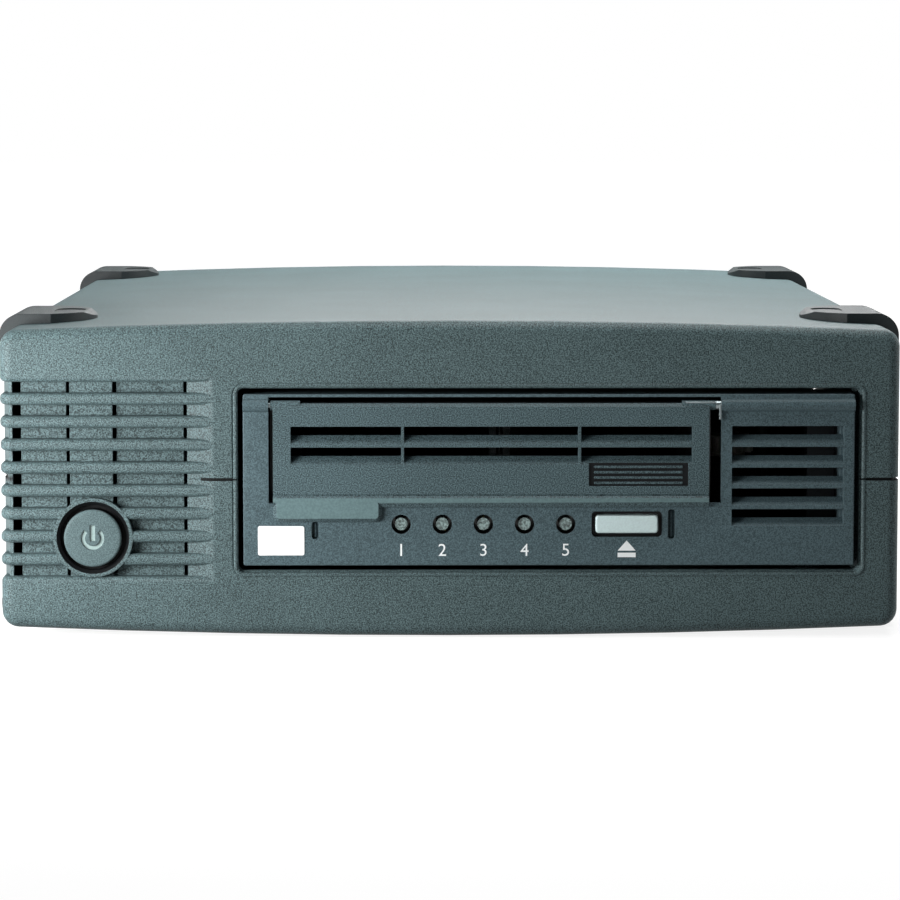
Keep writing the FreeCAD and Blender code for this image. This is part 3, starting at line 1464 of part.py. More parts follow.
# ---------------------------------------------------------------- cartridge door
def make_door():
    back = door_face + door_thick
    low = mouth_low + 0.4
    plate = new_body("door_plate")
    mid = [
        (back, low), (back, door_high), (door_face + 0.8, door_high),
        (door_face, door_high - 0.8), (door_face, lip_low + lip_height), (door_face, low),
    ]
    pad(plate, "door_section", "YZ", (door_x, door_end), mid)
    lip = [
        (lip_face + lip_thick, lip_low), (lip_face + lip_thick, low + 0.4), (back - 0.5, low + 0.4),
        (back - 0.5, low + 1.0), (lip_face + 0.5, lip_low + lip_height), (lip_face, lip_low + lip_height - 0.5),
        (lip_face, lip_low + lip_bevel), (lip_face + lip_bevel * 0.7, lip_low),
    ]
    pad(plate, "door_lip", "YZ", (door_x, door_end), lip)
    tab = new_body("door_tab")
    tab_low = lip_low - tab_drop
    pad(
        tab, "door_tab_plate", "XZ", (lip_face, lip_face + lip_thick),
        rounded((door_x, door_x + tab_width), (tab_low, lip_low + lip_height - 0.5), tab_round),
    )
    soften(
        tab, "door_tab_bevel", "Chamfer", lip_bevel * 0.7,
        lambda b: b.YMax < lip_face + 0.01 and b.ZMin < lip_low,
    )
    ears = [
        rod("door_ear_left", "X", (front, hinge_z), ear_radius, door_x - 0.6, door_x + ear_length),
        rod("door_ear_right", "X", (front, hinge_z), ear_radius, door_end - ear_length, door_end + ear_reach),
    ]
    slot_x = (door_x + door_slot_left, door_x + door_slot_left + door_slot_width)
    tops = [bezel_bottom + grille_top - grille_pitch * n for n in range(2)]
    slots = slope_cutter("door_slot_cutter", slot_x, tops, (door_face - 0.01, back + 0.01))
    half_post = door_post / 2
    post_z = (tops[1] - grille_slot - 0.3, tops[0] + 0.3)
    posts = [
        box(f"door_post_{n}", (x - half_post, x + half_post), (door_face + 0.3, back), post_z)
        for n, x in enumerate(slot_x[0] + door_slot_width * share for share in (0.2785, 0.7195))
    ]
    plaque_z = tops[1] - plaque_drop
    plaque_x = (door_end - plaque_right - plaque_width, door_end - plaque_right)
    plaque = box(
        "plaque_recess", plaque_x, (door_face - 1, door_face + plaque_depth),
        (plaque_z, plaque_z + plaque_height),
    )
    score_z = lip_low + lip_height
    score = box(
        "door_score", (door_x - 1, door_end + 1), (door_face - 1, door_face + 0.4), (score_z, score_z + 0.4)
    )
    bore = pin_radius + running_gap
    bore_reach = ear_length - 1 + 0.3
    ear_bores = [
        rod("ear_bore_left", "X", (front, hinge_z), bore, door_x - 2, door_x + bore_reach),
        rod("ear_bore_right", "X", (front, hinge_z), bore, door_end - bore_reach, door_end + 2),
    ]
    slotted = cut("door_slotted", plate, slots)
    whole = fuse("door_fused", slotted, *posts, tab, *ears)
    node("cartridge_door", cut("door_cut", whole, plaque, score, *ear_bores))
    pins = [
        rod(f"hinge_pin_{n}", "X", (front, hinge_z), pin_radius, *span)
        for n, span in enumerate(pin_spans())
    ]
    node("door_hinge_pins", group("hinge_pin_set", *pins))
    coil_x = (door_end + ear_reach + 0.1, mouth_end - 0.1)
    coil = rod("spring_coil", "X", (front, hinge_z), ear_radius - running_gap, *coil_x)
    hollow = rod("spring_bore", "X", (front, hinge_z), pin_radius + 0.1, coil_x[0] - 1, coil_x[1] + 1)
    leg = box(
        "spring_leg", (mouth_end - 0.6, mouth_end - 0.1), (front - ear_radius, front - pin_radius - running_gap),
        (hinge_z - 3.4, hinge_z + 0.2),
    )
    node("door_spring", fuse("door_spring_fused", cut("spring_tube", coil, hollow), leg))


# ---------------------------------------------------------------- mechanism: cartridge tray
PRESSURE = math.radians(20)  # pressure angle of the rack and pinion
tray_low = size("tray_low", 32.9)
rack_line = size("rack_line", 3.0)  # tray wall to the rack's pitch line


def tray_span():
    half = cartridge_width / 2 + cartridge_slack
    middle = (door_x + door_end) / 2
    return (middle - half, middle + half)


def make_tray():
    """Cartridge tray: a folded channel with inward shelves and a rack on its right wall."""
    x0, x1 = tray_span()
    y = (bezel_back + 2.5, bezel_back + 2.5 + cartridge_length - 4)
    top = tray_low + tray_sheet + cartridge_height + cartridge_slack
    section = [
        (x0 - tray_sheet, tray_low), (x0 + 9, tray_low), (x0 + 9, tray_low + tray_sheet),
        (x0, tray_low + tray_sheet), (x0, top), (x1, top), (x1, tray_low + tray_sheet),
        (x1 - 9, tray_low + tray_sheet), (x1 - 9, tray_low), (x1 + tray_sheet, tray_low),
        (x1 + tray_sheet, top + tray_sheet), (x0 - tray_sheet, top + tray_sheet),
    ]
    body = new_body("tray_body")
    pad(body, "tray_channel", "XZ", y, section)
    middle = (x0 + x1) / 2
    pocket(
        body, "tray_window", "XY", (top - 1, top + tray_sheet + 1),
        rounded((middle - 34, middle + 34), (y[0] + 18, y[1] - 22), 6.0),
    )
    wall = x1 + tray_sheet
    line = wall + rack_line
    tooth_pitch = gear_module * math.pi
    rack_y = pinion_place()[1] - tooth_pitch * 2.5
    z = (pinion_low(), pinion_low() + gear_height)
    add = gear_module * rack_addendum
    ded = gear_module * 1.25
    lean = math.tan(PRESSURE)
    base = pad(
        body, "rack_bar", "XY", z,
        rectangle((wall - 0.2, line - ded), (rack_y - 2, rack_y + tooth_pitch * rack_teeth)),
    )
    half_thick = (tooth_pitch - backlash) / 4
    tooth = pad(
        body, "rack_tooth", "XY", z,
        [
            (line - ded - 0.1, rack_y - half_thick - ded * lean),
            (line + add, rack_y - half_thick + add * lean),
            (line + add, rack_y + half_thick - add * lean),
            (line - ded - 0.1, rack_y + half_thick + ded * lean),
        ],
    )
    in_line(body, "rack_row", [tooth], "Y", tooth_pitch, rack_teeth)
    node("cartridge_tray", body)
    rails = []
    for n, (low, high) in enumerate(((x0 - tray_sheet, x0 + 4), (x1 - 4, x1 + tray_sheet))):
        rail_y = (y[0] + 2, y[1] + tray_travel)
        rails.append(box(f"tray_rail_{n}", (low, high), rail_y, (deck, tray_low - 0.1)))
    node("tray_rails", group("tray_rail_set", *rails))


def pinion_place():
    """Centre of the loading pinion, beside the tray's rack."""
    x = tray_span()[1] + tray_sheet + rack_line + gear_module * pinion_teeth / 2
    return (x, bezel_back + 62)


def pinion_low():
    return tray_low + 6


def tooth_half(radius):
    """Half the thickness of an involute pinion tooth at a radius."""
    pitch = float(gear_module * pinion_teeth / 2)
    angle = math.acos(min(1.0, pitch * math.cos(PRESSURE) / float(radius)))
    half = (math.pi * float(gear_module) / 2 - float(backlash) / 2) / 2
    turn = half / pitch + math.tan(PRESSURE) - PRESSURE - math.tan(angle) + angle
    return float(radius) * math.sin(turn)


def make_loader():
    """Loading motor and the pinion that drives the tray's rack."""
    at = pinion_place()
    low = pinion_low()
    can = rod("loader_can", "Z", at, 9.0, deck, low - 2)
    shaft = rod("loader_shaft", "Z", at, roller_pin, low - 3, low + gear_height + 2)
    node("loader_motor", fuse("loader_motor_fused", can, shaft))
    gear = new_body("pinion_body")
    pitch = gear_module * pinion_teeth / 2
    root = pitch - gear_module * 1.25
    tip = pitch + gear_module * 0.95
    gear_bore = roller_pin + running_gap
    pad(
        gear, "pinion_disc", "XY", (low - 1, low + gear_height), circle(0.0, 0.0, root),
        circle(0.0, 0.0, gear_bore),
    )
    base = pitch * math.cos(PRESSURE)
    flank = [(radius, tooth_half(radius)) for radius in (base, pitch, (pitch + tip) / 2, tip)]
    flank.insert(0, (root - 0.3, tooth_half(base) * 0.72))
    tooth = pad(
        gear, "pinion_tooth", "XY", (low, low + gear_height),
        [(x, -y) for x, y in flank] + flank[::-1],
    )
    in_ring(gear, "pinion_ring", [tooth], "Z", pinion_teeth)
    gear.Placement = Placement(Vector(), Rotation(Vector(0, 0, 1), 180))
    place_body(gear, at[0], at[1], Size(0.0, "0"))
    node("loader_pinion", gear)


# ---------------------------------------------------------------- mechanism: tape path
def reel_place():
    return (drive_center - 9, chassis_back - chassis_wall - reel_radius - 1)


def make_spindles():
    """Supply clutch under the cartridge and take-up reel behind it, each on its motor."""
    middle = (door_x + door_end) / 2
    clutch_at = (middle, bezel_back + 2.5 + cartridge_length / 2 + 2)
    low = tray_low - 5.6
    can = rod("supply_motor_can", "Z", clutch_at, 17.0, deck, low - 0.4)
    shaft = rod("supply_motor_shaft", "Z", clutch_at, spindle_radius, low - 1, tray_low - 1.4)
    node("supply_motor", fuse("supply_motor_fused", can, shaft))
    clutch = new_body("clutch_body")
    bore = spindle_radius + running_gap
    pad(clutch, "clutch_disc", "XY", (low, low + 3), circle(0.0, 0.0, 14.0), circle(0.0, 0.0, bore))
    tooth = pad(
        clutch, "clutch_tooth", "XY", (low + 2.9, tray_low - 1),
        [(7.0, -0.9), (13.2, -1.8), (13.2, 1.8), (7.0, 0.9)],
    )
    in_ring(clutch, "clutch_teeth", [tooth], "Z", 12)
    place_body(clutch, clutch_at[0], clutch_at[1], Size(0.0, "0"))
    node("supply_clutch", clutch)

    at = reel_place()
    reel_low = tape_low() - reel_flange
    reel_high = tape_low() + tape_width + reel_flange
    can = rod("take_up_can", "Z", at, 24.0, deck, reel_low - 0.5)
    shaft = rod("take_up_shaft", "Z", at, spindle_radius, reel_low - 1, reel_high + 1)
    node("take_up_motor", fuse("take_up_motor_fused", can, shaft))
    reel = new_body("reel_body")
    pad(
        reel, "reel_lower_flange", "XY", (reel_low, tape_low()),
        circle(0.0, 0.0, reel_radius), circle(0.0, 0.0, bore),
    )
    pad(
        reel, "reel_hub_drum", "XY", (tape_low() - 0.1, tape_low() + tape_width + 0.1),
        circle(0.0, 0.0, reel_hub), circle(0.0, 0.0, bore),
    )
    pad(
        reel, "reel_upper_flange", "XY", (reel_high - reel_flange, reel_high),
        circle(0.0, 0.0, reel_radius), circle(0.0, 0.0, bore),
    )
    window = pocket(
        reel, "reel_window", "XY", (reel_high - reel_flange - 0.05, reel_high + 1),
        [(reel_hub + 4, -4.0), (reel_radius - 5, -8.5), (reel_radius - 5, 8.5), (reel_hub + 4, 4.0)],
    )
    in_ring(reel, "reel_windows", [window], "Z", 6)
    place_body(reel, at[0], at[1], Size(0.0, "0"))
    slot = box(
        "leader_slot", (at[0] - 3, at[0] + 3), (at[1] - reel_hub - 1, at[1] - reel_hub + 7),
        (tape_low(), tape_low() + tape_width),
    )
    node("take_up_reel", cut("reel_cut", reel, slot))
    hook = box(
        "leader_hook_block", (at[0] - 3, at[0] + 3), (at[1] - reel_hub + 1.2, at[1] - reel_hub + 7),
        (tape_low(), tape_low() + tape_width),
    )
    notch = rod(
        "leader_notch", "Z", (at[0], at[1] - reel_hub + 2.2), 1.3, tape_low() - 1,
        tape_low() + tape_width + 1,
    )
    node("leader_hook", cut("leader_hook_cut", hook, notch))


def tape_low():
    return deck + 11


def roller_places():
    """The four guide rollers, in the order the tape meets them."""
    edge = chassis_right - chassis_wall - 1.5
    back = chassis_back - chassis_wall
    return [
        (edge - roller_flange - 9, back - 104),
        (edge - roller_flange, back - 88),
        (edge - roller_flange, back - 42),
        (edge - roller_flange - 18, back - 24),
    ]


def make_rollers():
    low = tape_low() - 1.2
    high = tape_low() + tape_width + 1.2
    for n, at in enumerate(roller_places(), 1):
        roller = new_body(f"roller_body_{n}")
        bore = circle(*at, roller_pin + running_gap)
        pad(roller, f"roller_low_{n}", "XY", (low, low + 1.2), circle(*at, roller_flange), bore)
        pad(roller, f"roller_drum_{n}", "XY", (low + 1.1, high - 1.1), circle(*at, roller_radius), bore)
        pad(roller, f"roller_high_{n}", "XY", (high - 1.2, high), circle(*at, roller_flange), bore)
        node(f"guide_roller_{n}", roller)
    pins = []
    for n, at in enumerate(roller_places()):
        foot = rod(f"roller_foot_{n}", "Z", at, roller_pin + 1.5, deck, low - 0.3)
        pin = rod(f"roller_pin_{n}", "Z", at, roller_pin, low - 1, high + 2)
        pins.append(fuse(f"roller_post_{n}", foot, pin))
    return pins


def make_head():
    """Read and write head on a carriage that a voice coil lifts along two posts."""
    x = chassis_right - chassis_wall - 6
    y = (roller_places()[1][1] + roller_places()[2][1]) / 2
    z = tape_low() + tape_width / 2
    posts = [(x, y - 11), (x, y + 11)]
    block = box("head_block", (x - 3.6, x + 3.6), (y - 14, y + 14), (z - 5, z + 5))
    bores = [
        rod(f"head_bore_{n}", "Z", at, roller_pin + running_gap, z - 6, z + 6)
        for n, at in enumerate(posts)
    ]
    node("head_carriage", cut("head_carriage_cut", block, *bores))
    head = new_body("head_body")
    nose = x - 3.6 - 8
    pad(
        head, "head_section", "XY", (z - 7, z + 7),
        [
            (x - 3.6, y - 6), (x - 3.6, y + 6), (nose + 1.6, y + 4.5),
            (nose, y + 3, (nose - 0.5, y, Size(9.25, "9.25"))), (nose, y - 3), (nose + 1.6, y - 4.5),
        ],
    )
    node("tape_head", head)
    coil_top = z - 5
    coil = box("coil_block", (x - 2, x + 2), (y - 7, y + 7), (deck + 2 + head_travel + 0.6, coil_top))
    node("head_coil", coil)
    magnet = [
        box("magnet_base", (x - 6, x + 5.6), (y - 8, y + 8), (deck, deck + 2)),
        box("magnet_left", (x - 6, x - 2.5), (y - 8, y + 8), (deck, deck + 7)),
        box("magnet_right", (x + 2.5, x + 5.6), (y - 8, y + 8), (deck, deck + 7)),
    ]
    node("head_magnet", fuse("head_magnet_fused", *magnet))
    return [
        rod(f"head_post_{n}", "Z", at, roller_pin, deck, z + 5 + head_travel + 2)
        for n, at in enumerate(posts)
    ]


# ---------------------------------------------------------------- mechanism: electronics
def main_board_span():
    """The main board's outline and the height of its upper face, under the lid's spacers."""
    x = (chassis_left + chassis_wall + 9.5, chassis_right - chassis_wall - 2)
    y = (reel_place()[1] - reel_radius + 12, chassis_back - chassis_wall - 12)
    return x, y, lid_low - 4.6


def make_electronics():
    x, y, high = main_board_span()
    node("main_board", box("main_board_plate", x, y, (high - board_thick, high)))
    (x0, x1), (z0, z1) = port_span()
    connector = box(
        "drive_connector_block", (x0 + 0.3, x1 - 0.3), (chassis_back - 14, chassis_back + 2),
        (z0 + 0.3, z1 - 0.3),
    )
    shelf = box(
        "drive_connector_foot", (x0 + 0.3, x1 - 0.3), (chassis_back - 14, chassis_back - chassis_wall),
        (deck, z0 + 0.5),
    )
    node("drive_connector", fuse("drive_connector_fused", connector, shelf))


# ---------------------------------------------------------------- leads inside the case
def lead(label, points, radius):
    """A round lead through a chain of points, with an arc as wide as its two runs allow."""
    edges = []
    start = points[0]
    for before, corner, after in zip(points, points[1:], points[2:]):
        inward = (before - corner).normalize()
        onward = (after - corner).normalize()
        turn = math.pi - inward.getAngle(onward)
        shorter = min((corner - before).Length, (after - corner).Length)
        step = 0.45 * shorter
        bend = step / math.tan(turn / 2)
        first = corner + inward * step
        last = corner + onward * step
        middle = (inward + onward).normalize()
        center = corner + middle * (bend / math.cos(turn / 2))
        edges.append(Part.LineSegment(start, first).toShape())
        edges.append(Part.Arc(first, center - middle * bend, last).toShape())
        start = last
    edges.append(Part.LineSegment(start, points[-1]).toShape())
    path = Part.Wire(edges)
    tangent = points[1] - points[0]
    section = Part.Wire(Part.Circle(points[0], tangent, radius).toShape())
    made = doc.addObject("Part::Feature", f"{label}_tube")
    made.Shape = path.makePipeShell([section], True, False)
    node(label, made)


def make_leads():
    """Mains, supply and data leads, each from connector to connector."""
    supply_y = rear - 63
    board_top = bay_floor + 7 + board_thick
    mains = [
        Vector(inlet_x, panel_out - inlet_deep, parting),
        Vector(inlet_x, panel_out - inlet_deep - 12, parting),
        Vector(inlet_x - 2, supply_y + 4, parting - 6),
        Vector(inlet_x - 2, supply_y - 8, board_top + 8),
        Vector(inlet_x - 2, supply_y - 8, board_top),
    ]
    lead("mains_lead", mains, 2.2)
    (x0, x1), (z0, z1) = port_span()
    z = (z0 + z1) / 2
    back = chassis_back + 2
    data = [
        Vector(x1 - 12, back, z),
        Vector(x1 - 12, back + 14, z),
        Vector(socket_x + 12, panel_in - board_offset - board_thick - 22, parting - 4),
        Vector(socket_x, panel_in - board_offset - board_thick - 12, parting),
        Vector(socket_x, panel_in - board_offset - board_thick, parting),
    ]
    lead("data_lead", data, 2.4)
    power = [
        Vector(x0 + 6, back, z),
        Vector(x0 + 6, back + 12, z),
        Vector(bezel_left + 12, back + 26, z + 4),
        Vector(bezel_left - 8, back + 30, parting + 12),
        Vector(bezel_left - 20, back + 20, parting + 6),
        Vector(bezel_left - 24, back + 8, board_top + 10),
        Vector(bezel_left - 24, back + 8, board_top),
    ]
    lead("drive_supply_lead", power, 2.2)


# ---------------------------------------------------------------- checks and files
def write_parts():
    doc.recompute()
    for thing in doc.Objects:
        if {"Invalid", "Error"} & set(thing.State):
            raise ValueError(f"{thing.Label} failed: {thing.State}")
    for thing in nodes:
        if thing.Shape.isNull() or not thing.Shape.isValid():
            raise ValueError(f"{thing.Label} has no valid shape")
    os.makedirs("parts", exist_ok=True)
    for thing in nodes:
        thing.Shape.exportStep(f"parts/{thing.Label}.step")


case_form = make_case()
make_feet(case_form)
panel_screws = make_rear_panel()
make_fan()
panel_screws += make_power_inlet()
panel_screws += make_data_socket()
node("rear_panel_screws", group("panel_screw_set", *panel_screws))
make_supply()
make_power_button()
make_chassis()
make_bezel()
make_front_board()
make_door()
make_tray()
make_loader()
make_spindles()
node("deck_pins", group("deck_pin_set", *make_rollers(), *make_head()))
make_electronics()
make_leads()
write_parts()
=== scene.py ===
"""Dresses the desktop tape drive's frame: its finishes, its fine detail and the studio round it."""

import json
import logging
import math
from dataclasses import dataclass
from enum import Enum
from functools import lru_cache

import bmesh
import bpy
from mathutils import Matrix, Vector

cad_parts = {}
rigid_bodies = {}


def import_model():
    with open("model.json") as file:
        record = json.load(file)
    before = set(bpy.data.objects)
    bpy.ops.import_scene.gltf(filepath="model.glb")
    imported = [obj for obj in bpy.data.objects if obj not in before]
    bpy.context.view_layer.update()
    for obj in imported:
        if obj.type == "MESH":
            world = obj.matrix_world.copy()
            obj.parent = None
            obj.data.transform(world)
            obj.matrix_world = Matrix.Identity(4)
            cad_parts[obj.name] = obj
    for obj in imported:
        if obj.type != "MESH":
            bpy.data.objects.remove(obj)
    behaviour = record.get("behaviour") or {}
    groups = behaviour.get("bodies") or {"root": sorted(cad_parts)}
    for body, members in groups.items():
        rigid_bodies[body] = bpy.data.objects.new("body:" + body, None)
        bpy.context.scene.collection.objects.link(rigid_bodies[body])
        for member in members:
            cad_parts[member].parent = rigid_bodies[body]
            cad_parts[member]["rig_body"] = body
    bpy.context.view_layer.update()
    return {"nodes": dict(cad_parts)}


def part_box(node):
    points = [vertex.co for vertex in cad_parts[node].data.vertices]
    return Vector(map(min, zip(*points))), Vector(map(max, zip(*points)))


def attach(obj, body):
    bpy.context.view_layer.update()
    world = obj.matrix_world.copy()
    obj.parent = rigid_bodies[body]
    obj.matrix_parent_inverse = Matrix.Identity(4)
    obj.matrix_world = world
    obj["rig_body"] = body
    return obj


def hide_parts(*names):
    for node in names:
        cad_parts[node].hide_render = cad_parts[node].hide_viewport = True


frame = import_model()
LOG = logging.getLogger("tape_drive")
MM = 0.001
JOIN = 0.0005 * MM
UPRIGHT = math.radians(90.0)
Colour = tuple[float, float, float, float]
Point = tuple[float, float, float]
WHITE = (1.0, 1.0, 1.0, 1.0)


def tint(red: int, green: int, blue: int) -> Colour:
    """Turns a display colour into a linear one.

    Args:
        red: red level, 0 to 255.
        green: green level, 0 to 255.
        blue: blue level, 0 to 255.

    Returns:
        The linear colour, with an alpha of 1.
    """

    def linear(level: int) -> float:
        """Linear light of one display level."""
        share = level / 255
        return share / 12.92 if share <= 0.04045 else ((share + 0.055) / 1.055) ** 2.4

    return (linear(red), linear(green), linear(blue), 1.0)


def scaled(colour: Colour, factor: float) -> Colour:
    """A colour made lighter or darker by a factor."""
    return tuple(min(1.0, channel * factor) for channel in colour[:3]) + (1.0,)


# ---------------------------------------------------------------- shader building


class Signal:
    """A number in a shader. Ordinary arithmetic on it adds Math nodes."""

    def __init__(self, graph: "Tree", socket: bpy.types.NodeSocket) -> None:
        """Wraps a socket of a graph."""
        self.graph = graph
        self.socket = socket

    def _math(self, operation: str, first: "Signal | float", second: "Signal | float") -> "Signal":
        """Adds one Math node.

        Args:
            operation: the node's operation.
            first: its first term.
            second: its second term.

        Returns:
            The node's result.
        """
        node = self.graph.node("ShaderNodeMath", {"operation": operation}, {0: first, 1: second})
        return Signal(self.graph, node.outputs[0])

    def __add__(self, other: "Signal | float") -> "Signal":
        """Sum."""
        return self._math("ADD", self, other)

    __radd__ = __add__

    def __sub__(self, other: "Signal | float") -> "Signal":
        """Difference."""
        return self._math("SUBTRACT", self, other)

    def __rsub__(self, other: float) -> "Signal":
        """Difference from a plain number."""
        return self._math("SUBTRACT", other, self)

    def __mul__(self, other: "Signal | float") -> "Signal":
        """Product."""
        return self._math("MULTIPLY", self, other)

    __rmul__ = __mul__

    def __gt__(self, other: "Signal | float") -> "Signal":
        """1 where this is the larger, and 0 elsewhere."""
        return self._math("GREATER_THAN", self, other)

    def held(self, low: float, high: float) -> "Signal":
        """Keeps the number between two limits."""
        return self._math("MINIMUM", self._math("MAXIMUM", self, low), high)

    def cycle(self, length: float) -> "Signal":
        """Distance past the last whole multiple of a length."""
        return self._math("FLOORED_MODULO", self, length)


class Tree:
    """A node tree, and the one way in which it grows."""

    def __init__(self, tree: bpy.types.NodeTree) -> None:
        """Takes an empty tree."""
        self.tree = tree

    def node(self, kind: str, settings: dict | None = None, inputs: dict | None = None) -> bpy.types.Node:
        """Adds a node.

        Args:
            kind: the node's type.
            settings: attributes of the node, and "stops" for a ramp's positions and colours.
            inputs: value or link of each socket, by its name or number.

        Returns:
            The node.
        """
        made = self.tree.nodes.new(kind)
        for name, value in (settings or {}).items():
            if name == "stops":
                while len(made.color_ramp.elements) < len(value):
                    made.color_ramp.elements.new(1.0)
                for element, (position, colour) in zip(made.color_ramp.elements, value):
                    element.position = position
                    element.color = colour
            else:
                setattr(made, name, value)
        for key, value in (inputs or {}).items():
            socket = made.inputs[key]
            if isinstance(value, Signal):
                self.tree.links.new(value.socket, socket)
            elif isinstance(value, bpy.types.NodeSocket):
                self.tree.links.new(value, socket)
            else:
                socket.default_value = value
        return made


class Graph(Tree):
    """The node tree of one material."""

    def place(self) -> bpy.types.NodeSocket:
        """Position on the piece, in metres."""
        return self.node("ShaderNodeTexCoord").outputs["Object"]

    def axes(self) -> tuple[Signal, Signal, Signal]:
        """The three coordinates of the position, in millimetres."""
        parts = self.node("ShaderNodeSeparateXYZ", None, {0: self.place()})
        return tuple(Signal(self, parts.outputs[number]) * 1000.0 for number in range(3))

    def noise(self, size: float, detail: float = 2.0, stretch: Vector | None = None) -> Signal:
        """Cloudy variation from 0 to 1.

        Args:
            size: width of a patch, in millimetres.
            detail: octaves of finer variation.
            stretch: how many times longer a patch is along each axis.

        Returns:
            The variation.
        """
        where = self.place()
        if stretch is not None:
            scale = [1.0 / length for length in stretch]
            where = self.node("ShaderNodeMapping", None, {0: where, 3: scale}).outputs[0]
        made = self.node(
            "ShaderNodeTexNoise",
            {"noise_dimensions": "3D"},
            {"Vector": where, "Scale": 1.0 / (size * MM), "Detail": detail, "Roughness": 0.55},
        )
        return Signal(self, made.outputs[0])

    def blend(self, share: Signal | float, first: object, second: object) -> bpy.types.NodeSocket:
        """Mixes two colours.

        Args:
            share: how much of the second there is.
            first: colour or socket at 0.
            second: colour or socket at 1.

        Returns:
            The mixed colour.
        """
        made = self.node("ShaderNodeMix", {"data_type": "RGBA"}, {0: share, 6: first, 7: second})
        return made.outputs[2]

    def tones(self, share: Signal, colour: Colour, low: float, high: float) -> bpy.types.NodeSocket:
        """Drifts a colour between two shares of itself."""
        return self.blend(share, scaled(colour, low), scaled(colour, high))

    def crystals(self, size: float) -> bpy.types.Node:
        """Cells of a width in millimetres."""
        where = {"Vector": self.place(), "Scale": 1000.0 / size}
        return self.node("ShaderNodeTexVoronoi", {"feature": "F1"}, where)

    def red(self, colour: bpy.types.NodeSocket) -> Signal:
        """Red channel of a colour."""
        return Signal(self, self.node("ShaderNodeSeparateColor", None, {0: colour}).outputs[0])

    def surface(self, values: dict) -> bpy.types.NodeSocket:
        """The shader with these values."""
        return self.node("ShaderNodeBsdfPrincipled", None, values).outputs[0]

    def eased(self, radius: float) -> bpy.types.NodeSocket:
        """Normal that runs round each edge over a radius in millimetres."""
        return self.node("ShaderNodeBevel", {"samples": 4}, {0: radius * MM}).outputs[0]

    def relief(self, height: Signal, depth: float, under: bpy.types.NodeSocket) -> bpy.types.NodeSocket:
        """Normal of a fine relief.

        Args:
            height: relief from 0 to 1.
            depth: height of the relief in millimetres.
            under: normal below the relief.

        Returns:
            The normal.
        """
        values = {"Height": height, "Distance": depth * MM, "Strength": 1.0, "Normal": under}
        return self.node("ShaderNodeBump", None, values).outputs[0]


# ---------------------------------------------------------------- finishes


@dataclass(frozen=True)
class Finish:
    """What every finish has.

    Attributes:
        name: name of the material.
        slot: the record's slot that it belongs to.
        colour: its main colour.
        edge: radius over which edges catch the light, in millimetres.
    """

    name: str
    slot: str
    colour: Colour
    edge: float = 0.2

    def shade(self, graph: Graph) -> bpy.types.NodeSocket:
        """Adds the finish's nodes and returns its shader."""
        raise NotImplementedError


@dataclass(frozen=True)
class Moulded(Finish):
    """Moulded plastic with a spark-eroded or smooth face.

    Attributes:
        roughness: middle roughness.
        grain: width of the texture's grain, in millimetres.
        depth: height of the grain, in millimetres.
        mottle: how far light and dark grains depart from the colour.
        gloss: strength of the reflection.
    """

    roughness: float = 0.5
    grain: float = 0.34
    depth: float = 0.03
    mottle: float = 0.3
    gloss: float = 0.5

    def shade(self, graph: Graph) -> bpy.types.NodeSocket:
        """Grained colour, uneven polish and a fine relief."""
        fine = graph.noise(self.grain, 2.5)
        broad = graph.noise(28.0, 2.0)
        speck = ((fine - 0.5) * 4.0 + 0.5).held(0.0, 1.0)
        drift = speck * 0.9 + (broad - 0.5) * 0.25
        rough = (self.roughness + (speck - 0.5) * 0.14).held(0.05, 1.0)
        low, high = 1.0 - self.mottle, 1.0 + self.mottle
        values = {
            "Base Color": graph.tones(drift.held(0.0, 1.0), self.colour, low, high),
            "Roughness": rough,
            "Specular IOR Level": self.gloss,
            "Normal": graph.relief(fine, self.depth, graph.eased(self.edge)),
        }
        return graph.surface(values)


@dataclass(frozen=True)
class Metal(Finish):
    """Rolled, turned or cast metal.

    Attributes:
        roughness: middle roughness.
        grain: width of its marks, in millimetres.
        stretch: how much longer the marks are along each axis.
        depth: height of the marks, in millimetres.
        cloud: how far the colour drifts.
    """

    roughness: float = 0.35
    grain: float = 0.25
    stretch: Point = (1.0, 1.0, 1.0)
    depth: float = 0.01
    cloud: float = 0.15

    def shade(self, graph: Graph) -> bpy.types.NodeSocket:
        """Bright metal with marks in its polish."""
        marks = graph.noise(self.grain, 3.0, self.stretch)
        patch = graph.noise(9.0, 3.0)
        drift = (patch * 0.7 + marks * 0.3).held(0.0, 1.0)
        rough = self.roughness + (marks - 0.5) * 0.25
        values = {
            "Base Color": graph.tones(drift, self.colour, 1.0 - self.cloud, 1.0 + self.cloud),
            "Metallic": 1.0,
            "Roughness": (rough + (patch - 0.5) * 0.1).held(0.05, 1.0),
            "Normal": graph.relief(marks, self.depth, graph.eased(self.edge)),
        }
        return graph.surface(values)


@dataclass(frozen=True)
class Spangled(Finish):
    """Zinc-coated sheet steel, with the crystals of its coating.

    Attributes:
        crystal: width of a crystal, in millimetres.
        roughness: middle roughness.
    """

    crystal: float = 7.0
    roughness: float = 0.38

    def shade(self, graph: Graph) -> bpy.types.NodeSocket:
        """Crystals that differ a little in tone and polish."""
        facet = graph.red(graph.crystals(self.crystal).outputs["Color"])
        fine = graph.noise(0.4, 3.0, (1.0, 6.0, 1.0))
        values = {
            "Base Color": graph.tones(facet, self.colour, 0.86, 1.08),
            "Metallic": 1.0,
            "Roughness": (self.roughness + (facet - 0.5) * 0.12 + (fine - 0.5) * 0.1).held(0.05, 1.0),
            "Normal": graph.relief(fine, 0.006, graph.eased(self.edge)),
        }
        return graph.surface(values)


